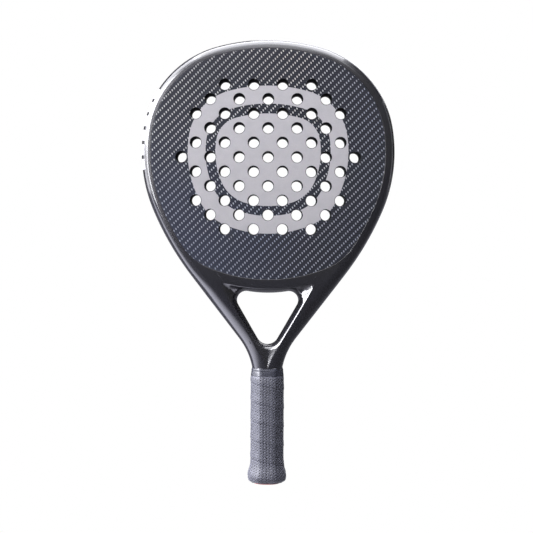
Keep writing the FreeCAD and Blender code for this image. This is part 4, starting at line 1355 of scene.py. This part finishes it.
@dataclass
class HeadFaces:
    """Both faces: woven plates with drilled holes, and the plain silver marks on them."""

    shape: FrameShape
    holes: HoleField = field(default_factory=HoleField)
    plate_low: float = HALF_DEPTH - 0.45
    plate_top: float = HALF_DEPTH - 0.1
    edge_gap: float = 0.06
    edge_round: float = 0.22
    edge_drop: float = 0.18
    rim_width: float = 0.12
    film_sink: float = 0.02
    film_rise: float = 0.09
    film_drop: float = 0.05
    mark_bottom_z: float = 257.5
    mark_bands: tuple[tuple[float, float | None], ...] = ((48.0, 66.0), (76.0, None))
    mark_corner_share: float = 0.45

    def build(self, finishes: Finishes) -> None:
        """Makes the plates, the marks and the bores' lacquer."""
        flat, triangles, top = self.plate_plan()
        marks = self.mark_plan()
        for side in Side:
            label = side.name.lower()
            plate = MeshDraft()
            slab(plate, flat, triangles, top, self.plate_low, side)
            piece = plate.build(label + "_carbon_plate", finishes.twill, keep_sharp=12.0)
            place(piece, "carbon_twill", label + "_carbon_face")
            film = MeshDraft()
            for plan, faces, levels in marks:
                slab(film, plan, faces, levels, self.plate_top - self.film_sink, side)
            piece = film.build(label + "_silver_mark", finishes.film, keep_sharp=10.0)
            place(piece, "silver_film", label + "_face_mark")
        self.holes.build_liners(finishes, self.plate_top)

    def plate_plan(self) -> tuple[Array, Array, Array]:
        """Flat points, triangles and heights of a plate with rounded edges."""
        shape, line = self.shape, self.shape.outline
        edges = [line.head_loop(shape.face_inset + self.edge_gap + gap,
                                shape.face_arc - self.edge_gap - gap, 1.5)
                 for gap in (0.0, self.edge_round * 0.4, self.edge_round)]
        border, opening = edges[0], self.holes.radius - self.holes.lacquer + self.holes.lip + 0.03
        rims = self.holes.rings(opening)
        holes = rims + self.holes.rings(opening + self.rim_width)

        def keep(points: Array) -> Array:
            """Whether points lie on the plate and in no hole."""
            return inside_loops(points, [border] + rims)

        x, z = np.meshgrid(np.arange(-116.0, 117.0, 4.0), np.arange(214.0, 444.0, 4.0))
        lattice = np.stack([x.ravel(), z.ravel()], axis=1)
        lattice = lattice[keep(lattice)]
        centres = np.array(self.holes.centres())
        clear = np.min(np.hypot(lattice[:, None, 0] - centres[None, :, 0],
                                lattice[:, None, 1] - centres[None, :, 1]), axis=1)
        lattice = lattice[(clear > opening + 1.5) & (distance_to(lattice, border) > 2.0)]
        flat, triangles = triangulate(edges + holes, lattice, keep)
        by_edge = distance_to(flat, border)
        left = np.clip(1.0 - by_edge / self.edge_round, 0.0, 1.0)
        top = self.plate_top - self.edge_drop * left ** 2
        return flat, triangles, top

    def mark_plan(self) -> list[tuple[Array, Array, Array]]:
        """Flat points, triangles and heights of the ring and of the middle field."""
        found = []
        line, bottom = self.shape.outline, self.shape.outline.low_centre_z - self.mark_bottom_z
        opening = self.holes.radius + self.holes.lip + 0.1
        for outer, inner in self.mark_bands:
            rest = bottom - (outer - self.mark_bands[0][0])
            lower = rest - self.rim_width
            border = [line.head_loop(outer, rest, 1.5, self.mark_corner(rest))]
            rims = [line.head_loop(outer + self.rim_width, lower, 1.5, self.mark_corner(lower))]
            if inner:
                rest -= inner - outer
                upper = rest + self.rim_width
                border.append(line.head_loop(inner, rest, 1.5, self.mark_corner(rest)))
                rims.append(line.head_loop(inner - self.rim_width, upper, 1.5, self.mark_corner(upper)))
            rings = self.holes.rings(opening)
            touching = [ring for ring in rings if self.touches(ring, border)]

            def keep(points: Array) -> Array:
                """Whether points lie on the mark and in no hole."""
                return inside_loops(points, border) & ~inside_loops(points, touching)

            flat, triangles = triangulate(border + rims + touching, np.empty((0, 2)), keep)
            by_edge = np.min([distance_to(flat, loop) for loop in border], axis=0)
            rounding = np.clip(1.0 - by_edge / self.rim_width, 0.0, 1.0)
            levels = self.plate_top + self.film_rise - self.film_drop * rounding
            found.append((flat, triangles, levels))
        return found

    def mark_corner(self, rest: float) -> float:
        """Radius of a mark's lower corners."""
        return min(self.shape.outline.corner, rest * self.mark_corner_share)

    @staticmethod
    def touches(ring: Array, border: Sequence[Array]) -> bool:
        """Whether a hole lies in a mark or across its edge."""
        return bool(inside_loops(ring, border).any())


@dataclass
class SideBlocks:
    """Plain silver blocks on the left side wall, wrapped over both shoulders of the rim."""

    shape: FrameShape
    first: float = 128.5
    length: float = 11.0
    pitch: float = 15.0
    count: int = 6
    wrap: float = 4.0
    proud: float = -0.01
    front_proud: float = 0.05
    depth: float = 0.15
    corner_columns: int = 22
    along_rows: int = 9

    def build(self, finishes: Finishes) -> None:
        """Makes the blocks as one piece."""
        draft, line = MeshDraft(), self.shape.outline
        inset = np.linspace(0.0, 1.0, self.corner_columns) ** 2 * self.wrap
        half = np.stack([inset, self.shape.rim_height(inset)], axis=1)
        line_out = np.concatenate([half[:0:-1] * (1.0, -1.0), half])
        along = np.gradient(line_out, axis=0)
        normal = np.stack([-along[:, 1], along[:, 0]], axis=1) / np.linalg.norm(along, axis=1)[:, None]
        lift = self.proud + (self.front_proud - self.proud) * smoothstep(line_out[:, 0], 0.05, 0.7)
        section = [tuple(point) for point in line_out + normal * lift[:, None]]
        section += [tuple(point) for point in (line_out - normal * self.depth)[::-1]]
        for index in range(self.count):
            start = self.first + index * self.pitch
            rows = []
            for length in np.linspace(start, start + self.length, self.along_rows):
                plan = [line.at(length, inset) for inset, _ in section]
                rows.append([(-x, y, z) for (x, z), (_, y) in zip(plan, section)])
            grid = np.array(rows)
            draft.add_grid(grid, closed=True)
            draft.add(grid[0], [range(len(section))])
            draft.add(grid[-1], [range(len(section))])
        place(draft.build("side_blocks", finishes.film, keep_sharp=40.0), "silver_film", "rim_side_blocks")


# ---- the handle ----
@dataclass
class HandleShape:
    """The handle's rounded octagon at any height and distance outside the pallets."""

    half_width: float = 14.1
    half_depth: float = 12.0
    bevel: float = 6.89
    widening: float = 1.8
    widen_from: float = 106.26
    widen_to: float = 122.0
    power: float = 16.0

    def at(self, turn: Array, grow: Array | float, z: Array | float) -> Array:
        """Points of the section.

        Args:
            turn: Angles round the handle from +X, in radians.
            grow: Distance outside the pallets.
            z: Height.

        Returns:
            Points of shape (..., 3).
        """
        wide = np.clip((z - self.widen_from) / (self.widen_to - self.widen_from), 0.0, 1.2) * self.widening
        a, b = self.half_width + wide + grow, self.half_depth + grow
        diagonal = a + b - self.bevel - grow * (2.0 - math.sqrt(2.0))
        c, s = np.abs(np.cos(turn)), np.abs(np.sin(turn))
        total = (c / a) ** self.power + (s / b) ** self.power + ((c + s) / diagonal) ** self.power
        reach = total ** (-1.0 / self.power)
        return np.stack([reach * np.cos(turn), reach * np.sin(turn), z + 0.0 * reach], axis=-1)


@dataclass
class Overgrip:
    """The perforated wrap, wound up the handle and tucked under the butt."""

    handle: HandleShape
    profile: tuple[Pair, ...] = (
        (8.8, 5.8), (12.0, 5.5), (15.5, 4.5), (19.5, 3.4), (25.0, 3.0), (36.0, 2.95), (106.3, 2.95),
        (110.9, 2.45), (112.6, 1.6))
    foot_grow: float = 2.4
    foot_z: float = 2.6
    foot_power: float = 2.5
    around: int = 30
    turn_rows: int = 7
    turn_pitch: float = 19.5
    girth: float = 97.0
    overlap_span: Pair = (0.1, 0.42)
    hole: float = 0.74
    hole_depth: float = 0.38
    dimple: float = 0.16
    overlap: float = 0.3
    thickness: float = 0.85

    def meridian(self) -> tuple[Array, Array, Array]:
        """Length, distance outside the pallets and height along the wrap, from its foot up."""
        t = np.linspace(0.0, math.pi / 2.0, 24)
        widest = self.profile[0]
        grow = self.foot_grow + (widest[1] - self.foot_grow) * np.sin(t) ** (2.0 / self.foot_power)
        z = self.foot_z + (widest[0] - self.foot_z) * (1.0 - np.cos(t) ** (2.0 / self.foot_power))
        grow = np.concatenate([[self.foot_grow - 1.0], grow])
        z = np.concatenate([[self.foot_z + 0.1], z])
        up = np.linspace(widest[0], self.profile[-1][0], 200)[1:]
        stations = np.array(self.profile)
        spread = np.mean([np.interp(up + shift, stations[:, 0], stations[:, 1])
                          for shift in np.linspace(-2.0, 2.0, 9)], axis=0)
        grow, z = np.concatenate([grow, spread]), np.concatenate([z, up])
        length = np.concatenate([[0.0], np.cumsum(np.hypot(np.diff(grow), np.diff(z)))])
        return length, grow, z

    def surface(self, across: Array, row: Array, sink: Array, raised: Array) -> Array:
        """Points of the wrap.

        Args:
            across: Place round the handle, in cells.
            row: Place along the winding, in rows.
            sink: How far each point lies under the surface.
            raised: Share of the overlap's step that lifts each point.

        Returns:
            Points of shape (n, 3).
        """
        length, grow, z = self.meridian()
        winding = row * self.turn_pitch / self.turn_rows - self.turn_pitch * across / self.around
        s = np.clip(winding, 0.0, length[-1])
        calm = smoothstep(s, 3.0, 9.0) * smoothstep(length[-1] - s, 0.4, 3.0)
        out = np.interp(s, length, grow) + calm * (raised * self.overlap - sink)
        return self.handle.at(2.0 * math.pi * across / self.around, out, np.interp(s, length, z))

    def build(self, finishes: Finishes) -> None:
        """Makes the wrap as one closed piece."""
        length = self.meridian()[0][-1]
        row_height = self.turn_pitch / self.turn_rows
        width = self.girth / self.around
        turn = np.arange(8) * math.pi / 4.0 - 3.0 * math.pi / 4.0
        border = np.array([(0.0, 0.0), (0.5, 0.0), (1.0, 0.0), (1.0, 0.5), (1.0, 1.0), (0.5, 1.0),
                           (0.0, 1.0), (0.0, 0.5)])
        rings = [border]
        sinks = [np.where(np.arange(8) % 2 == 0, self.dimple, 0.0)]
        for share, sink in ((1.35, 0.0), (1.0, 0.06), (0.8, self.hole_depth)):
            ring = np.stack([0.5 + share * self.hole / width * np.cos(turn),
                             0.5 + share * self.hole / row_height * np.sin(turn)], axis=1)
            rings.append(ring)
            sinks.append(np.full(8, sink))
        rings.append(np.array([(0.5, 0.5)]))
        sinks.append(np.array([self.hole_depth]))
        cell, depth = np.concatenate(rings), np.concatenate(sinks)
        faces = [(8 * ring + i, 8 * ring + (i + 1) % 8, 8 * ring + 8 + (i + 1) % 8, 8 * ring + 8 + i)
                 for ring in range(3) for i in range(8)]
        faces += [(24 + i, 24 + (i + 1) % 8, 32) for i in range(8)]
        plain = np.concatenate([border, [(0.5, 0.5)]])
        fan = [(i, (i + 1) % 8, 8) for i in range(8)]
        draft = MeshDraft()
        for row in range(int((length + self.turn_pitch) / row_height) + 1):
            for column in range(self.around):
                low = row * row_height - self.turn_pitch * (column + 1) / self.around
                high = low + row_height + self.turn_pitch / self.around
                if high <= 0.0 or low >= length:
                    continue
                whole = low > 1.5 and high < length - 0.6
                places, sink, joined = (cell, depth, faces) if whole else (plain, np.zeros(9), fan)
                share = (row % self.turn_rows + places[:, 1]) / self.turn_rows
                raised = 1.0 - smoothstep(share, *self.overlap_span)
                # The first relief value, the depth, becomes painted shade in the wrap's finish; the second is
                # the overlap's lift.
                relief = np.stack([np.minimum(sink / self.hole_depth, 1.0), raised], axis=1)
                points = self.surface(column + places[:, 0], row + places[:, 1], sink, raised)
                draft.add(points, joined, relief)
                if row % self.turn_rows == 0:
                    across = column + np.array([0.0, 0.5, 1.0, 1.0, 0.5, 0.0])
                    step = np.array([0.0, 0.0, 0.0, 1.0, 1.0, 1.0])
                    sink = np.array([1.0, 0.0, 1.0, 1.0, 0.0, 1.0]) * self.dimple
                    points = self.surface(across, np.full(6, float(row)), sink, step)
                    draft.add(points, [(0, 1, 4, 5), (1, 2, 3, 4)])
        self.add_lining(draft)
        place(draft.build("perforated_overgrip", finishes.grip, merge=0.004), "overgrip", "overgrip")

    def add_lining(self, draft: MeshDraft) -> None:
        """Adds the inner side, which closes the wrap at its foot and at its top."""
        length, grow, z = self.meridian()
        across = np.arange(2 * self.around) * math.pi / self.around
        rows = [self.handle.at(across, grow[0], z[0])]
        for s in np.linspace(2.0, length[-1] - 0.3, 40):
            out, level = np.interp(s, length, grow), np.interp(s, length, z)
            rows.append(self.handle.at(across, out - self.thickness, max(level, z[0] + 0.3)))
        rows.append(self.handle.at(across, grow[-1], z[-1]))
        draft.add_grid(np.array(rows), closed=True)


@dataclass
class BaseGrip:
    """The cushion grip under the wrap: a spiral band with a shallow groove at each turn."""

    wrap: Overgrip
    low_z: float = 4.0
    high_z: float = 114.5
    band: float = 21.0
    groove: float = 0.3
    groove_share: float = 0.03
    under_wrap: float = 0.95
    thickness: float = 1.2
    columns: int = 96
    rows: int = 150

    def build(self, finishes: Finishes) -> None:
        """Makes the grip as one closed piece."""
        length, grow, z = self.wrap.meridian()
        turn = np.linspace(0.0, 2.0 * math.pi, self.columns, endpoint=False)
        outer, inner = [], []
        for level in np.linspace(self.low_z, self.high_z, self.rows):
            out = np.interp(level, z[1:], grow[1:]) - self.under_wrap
            share = (level / self.band + turn / (2.0 * math.pi)) % 1.0
            cut = self.groove * np.exp(-(np.minimum(share, 1.0 - share) / self.groove_share) ** 2)
            outer.append(self.wrap.handle.at(turn, out - cut, level))
            inner.append(self.wrap.handle.at(turn, out - self.thickness, level))
        draft = MeshDraft()
        draft.add_grid(np.array(outer + inner[::-1] + [outer[0]]), closed=True)
        place(draft.build("cushion_base_grip", finishes.cushion), "base_grip", "base_grip")


@dataclass
class FinishingTape:
    """Two turns of glossy tape over the upper end of the wrap.

    Places up the tape are shares of its height. The second turn ends at a slanting edge, and a
    crease runs round above the middle.
    """

    handle: HandleShape
    low_z: float = 111.1
    high_z: float = 120.3
    low_grow: float = 2.3
    high_grow: float = 0.15
    layer: float = 0.13
    inner_gap: float = 0.45
    ripple: float = 0.06
    layer_edge: float = 0.62
    crease_at: float = 0.7
    crease_rise: float = 0.22
    crease_width: float = 0.07
    edge_drop: float = 0.4
    edge_share: float = 7.0
    columns: int = 180
    rows: int = 28

    def build(self, finishes: Finishes) -> None:
        """Makes the tape as one closed piece."""
        turn = np.linspace(0.0, 2.0 * math.pi, self.columns, endpoint=False)
        share = np.linspace(0.0, 1.0, self.rows)
        outer, inner = [], []
        for place_up in share:
            z = self.low_z + (self.high_z - self.low_z) * place_up
            grow = self.low_grow + (self.high_grow - self.low_grow) * place_up
            edge = 4.0 * place_up * (1.0 - place_up)
            ripple = self.ripple * np.sin(9.0 * turn + 5.0 * place_up) * np.sin(3.0 * turn - 1.0) * edge
            slant = self.layer_edge + 0.12 * np.sin(turn + 0.7)
            second = self.layer * (1.0 - smoothstep(np.full_like(turn, place_up) - slant, -0.015, 0.015))
            wavy = 0.05 * np.sin(2.0 * turn + 1.0) + 0.03 * np.sin(7.0 * turn)
            off_crease = place_up - self.crease_at - 0.07 * np.sin(2.0 * turn + 0.6)
            crease = self.crease_rise * np.exp(-(off_crease / self.crease_width) ** 2)
            by_edge = min(1.0, self.edge_share * min(place_up, 1.0 - place_up))
            drop = self.edge_drop * (1.0 - by_edge) ** 2
            level = grow + ripple + second + crease - self.layer * 0.6 - drop
            outer.append(self.handle.at(turn, level, z + wavy * edge))
            inner.append(self.handle.at(turn, grow - self.inner_gap, z))
        ring = np.array(outer + inner[::-1] + [outer[0]])
        draft = MeshDraft()
        draft.add_grid(ring, closed=True)
        place(draft.build("neck_finishing_tape", finishes.tape, keep_sharp=50.0), "finishing_tape",
              "finishing_tape")


@dataclass
class ButtPlate:
    """The crowned red plate in the foot of the cap, with the hole for a wrist cord."""

    handle: HandleShape
    grow: float = -1.12
    crown: float = 220.0
    height: float = 2.95
    hole: float = 3.05
    hole_lips: tuple[Pair, ...] = ((1.04, 0.2), (1.12, 0.08), (1.25, 0.05))
    ring_shares: tuple[float, ...] = (0.15, 0.4, 0.7, 0.88, 0.96)
    columns: int = 96

    def build(self, finishes: Finishes) -> None:
        """Makes the plate as one closed piece."""
        turn = np.linspace(0.0, 2.0 * math.pi, self.columns, endpoint=False)
        rim = self.handle.at(turn, self.grow, 0.0)
        bore = np.stack([self.hole * np.cos(turn), self.hole * np.sin(turn), 0.0 * turn], axis=1)
        rows = [self.lifted(bore, self.height), self.lifted(bore, 0.45)]
        for spread, lift in self.hole_lips:
            inner = bore * (spread, spread, 1.0)
            rows.append(self.lifted(inner, self.sag(inner) + lift))
        for share in self.ring_shares:
            ring = inner + (rim - inner) * share
            rows.append(self.lifted(ring, self.sag(ring) + 0.05 + 0.06 * (share > 0.95)))
        rows += [self.lifted(rim, self.sag(rim) + 0.22), self.lifted(rim, self.height), rows[0]]
        draft = MeshDraft()
        draft.add_grid(np.array(rows), closed=True)
        place(draft.build("red_butt_plate", finishes.red, keep_sharp=45.0), "red_plastic", "butt_end_plate")

    def sag(self, ring: Array) -> Array:
        """Rise of the crowned underside at each point."""
        return self.crown - np.sqrt(self.crown ** 2 - ring[:, 0] ** 2 - ring[:, 1] ** 2)

    @staticmethod
    def lifted(ring: Array, z: object) -> Array:
        """The ring moved to a height."""
        moved = ring.copy()
        moved[:, 2] = z
        return moved


@dataclass
class InnerPieces:
    """The pieces under the skin, which keep their CAD shape and get their own finish."""

    def dress(self, finishes: Finishes) -> None:
        """Assigns a finish to every CAD node that isn't replaced."""
        looks = {"frame_tube_foam": finishes.filler, "throat_bridge_foam": finishes.filler,
                 "eva_core": finishes.eva,
                 "front_glass_ply": finishes.glass, "back_glass_ply": finishes.glass,
                 "front_handle_pallet": finishes.pallet, "back_handle_pallet": finishes.pallet,
                 "butt_cap": finishes.cap, "cap_staples": finishes.steel,
                 "grip_start_staple": finishes.steel}
        for name, material in looks.items():
            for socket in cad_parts[name].material_slots:
                socket.material = material
            log.info("%s: CAD shape, finish %s", name, material.name)


# ---- studio ----
@dataclass
class Studio:
    """White sweep, soft boxes and camera.

    In glossy surfaces the floor mirrors a bright patch; each lit pair is where the patch begins and
    where it's full, in metres.
    """

    camera_place: tuple[float, float, float] = (0.0055, -1.44, 0.2688)
    camera_aim: tuple[float, float, float] = (-0.00125, 0.0, 0.2237)
    lens: float = 94.76
    roll: float = 0.22
    floor_z: float = -0.012
    light_tint: tuple[float, float, float] = (0.95, 0.95, 1.0)
    lit_across: Pair = (0.1, -0.2)
    lit_front: Pair = (-0.5, -0.08)
    lit_back: Pair = (0.1, 0.0)
    lit_strength: float = 5.0
    lit_rest: float = 0.25
    lit_colour: Colour = shade(0.86, 0.86, 1.0)
    paper_colour: Colour = shade(0.22, 0.22, 0.22)
    white: Colour = shade(1.0, 1.0, 1.0)
    ambient_rest: float = 0.04
    ambient_front: float = 0.26

    def build(self) -> None:
        """Makes the floor, the lights, the world and the camera."""
        self.make_sweep()
        for light in (("top_box", (0.0, 0.05, 1.35), (0.0, 0.05, 0.3), (1.2, 1.3), 44.0, False),
                      ("left_box", (-1.4, -0.2, 0.4), (0.0, -0.2, 0.3), (1.4, 1.5), 38.0, False),
                      ("corner_box", (-1.05, -0.1, 1.2), (0.0, -0.1, 0.3), (1.2, 1.2), 40.0, False),
                      ("front_fill", (-1.3, -1.9, 1.4), (0.0, 0.0, 0.25), (0.8, 0.8), 4.0, False),
                      ("right_edge", (1.5, 0.35, 0.5), (0.0, 0.0, 0.25), (0.12, 1.2), 1.5, False),
                      ("back_fill", (0.5, 2.0, 1.3), (0.0, 0.0, 0.25), (1.2, 1.0), 8.0, False),
                      ("top_shine", (0.0, -0.9, 1.35), (0.0, 0.0, 0.4), (1.3, 0.6), 11.0, True),
                      ("crest_shine", (-1.15, -0.72, 0.85), (0.03, 0.0, 0.18), (1.0, 0.8), 66.0, True),
                      ("edge_shine", (-1.1, -1.1, 0.1), (0.0, 0.0, 0.08), (0.35, 1.0), 24.0, True)):
            self.make_light(*light)
        self.make_world()
        self.make_camera()
        bpy.context.scene.view_settings.view_transform = "Standard"

    def make_light(self, name: str, position: tuple[float, float, float], aim: tuple[float, float, float],
                   size: Pair, power: float, shine_only: bool) -> None:
        """Adds a soft box that faces a point, for highlights alone if wanted."""
        light = bpy.data.lights.new(name, "AREA")
        light.shape = "RECTANGLE"
        light.size, light.size_y = size
        light.energy = power
        light.color = self.light_tint
        lamp = new_object(name, light)
        lamp.location = position
        lamp.visible_diffuse = not shine_only
        lamp.rotation_euler = (Vector(aim) - Vector(position)).to_track_quat("-Z", "Y").to_euler()

    def make_sweep(self) -> None:
        """Adds the pale floor, which shows pure white to the camera."""
        mesh = bpy.data.meshes.new("studio_floor")
        size = 6.0
        mesh.from_pydata([(x, y, self.floor_z) for x, y in ((-size, -size), (size, -size), (size, size),
                                                            (-size, size))], [], [(0, 1, 2, 3)])
        floor = new_object("studio_floor", mesh)
        material = bpy.data.materials.new("white_paper")
        material.use_nodes = True
        material.node_tree.nodes.clear()
        bench = NodeBench(material.node_tree)
        paper = bench.add("ShaderNodeBsdfDiffuse", {"Color": self.paper_colour})
        path = bench.add("ShaderNodeLightPath")
        where = bench.add("ShaderNodeSeparateXYZ", {0: bench.add("ShaderNodeTexCoord").outputs["Object"]})
        along = bench.math("MULTIPLY", bench.ramp(where.outputs[1], *self.lit_front),
                           bench.ramp(where.outputs[1], *self.lit_back))
        patch = bench.math("MULTIPLY", bench.ramp(where.outputs[0], *self.lit_across), along)
        lit = bench.math("MULTIPLY_ADD", patch, self.lit_strength, self.lit_rest)
        sheen = bench.add("ShaderNodeEmission", {"Color": self.lit_colour, "Strength": lit})
        bright = bench.add("ShaderNodeEmission", {"Color": self.white, "Strength": 1.0})
        glossy = bench.add("ShaderNodeMixShader", {0: path.outputs["Is Glossy Ray"], 1: paper.outputs[0],
                                                   2: sheen.outputs[0]})
        both = bench.add("ShaderNodeMixShader", {0: path.outputs["Is Camera Ray"], 1: glossy.outputs[0],
                                                 2: bright.outputs[0]})
        bench.add("ShaderNodeOutputMaterial", {0: both.outputs[0]})
        mesh.materials.append(material)

    def make_world(self) -> None:
        """Makes the surroundings: white to the camera, dim to the rest, less so in front when mirrored."""
        world = bpy.data.worlds.new("white_room")
        bpy.context.scene.world = world
        world.use_nodes = True
        world.node_tree.nodes.clear()
        bench = NodeBench(world.node_tree)
        path = bench.add("ShaderNodeLightPath")
        side = bench.add("ShaderNodeSeparateXYZ", {0: bench.add("ShaderNodeTexCoord").outputs["Generated"]})
        front = bench.math("MULTIPLY", bench.ramp(side.outputs[1], 0.3, -0.4), path.outputs["Is Glossy Ray"])
        ambient = bench.math("MULTIPLY_ADD", front, self.ambient_front, self.ambient_rest)
        strength = bench.math("MAXIMUM", path.outputs["Is Camera Ray"], ambient)
        light = bench.add("ShaderNodeBackground", {"Color": self.white, "Strength": strength})
        bench.add("ShaderNodeOutputWorld", {0: light.outputs[0]})

    def make_camera(self) -> None:
        """Places the camera."""
        camera = bpy.data.cameras.new("camera")
        camera.lens = self.lens
        camera.sensor_width = 36.0
        camera.clip_start = 0.01
        eye = new_object("camera", camera)
        place_vector = Vector(self.camera_place)
        turn = (Vector(self.camera_aim) - place_vector).to_track_quat("-Z", "Y").to_matrix().to_4x4()
        roll = Matrix.Rotation(math.radians(self.roll), 4, "Z")
        eye.matrix_world = Matrix.Translation(place_vector) @ turn @ roll
        bpy.context.scene.camera = eye


def main() -> None:
    """Builds the racket and the studio, piece by piece."""
    logging.basicConfig(level=logging.INFO, format="%(name)s %(message)s")
    finishes = Finishes()
    shape = FrameShape()
    handle = HandleShape()
    FrameShell(shape).build(finishes)
    HeadFaces(shape).build(finishes)
    SideBlocks(shape).build(finishes)
    wrap = Overgrip(handle)
    wrap.build(finishes)
    BaseGrip(wrap).build(finishes)
    FinishingTape(handle).build(finishes)
    ButtPlate(handle).build(finishes)
    InnerPieces().dress(finishes)
    Studio().build()


if __name__ == "__main__":
    main()
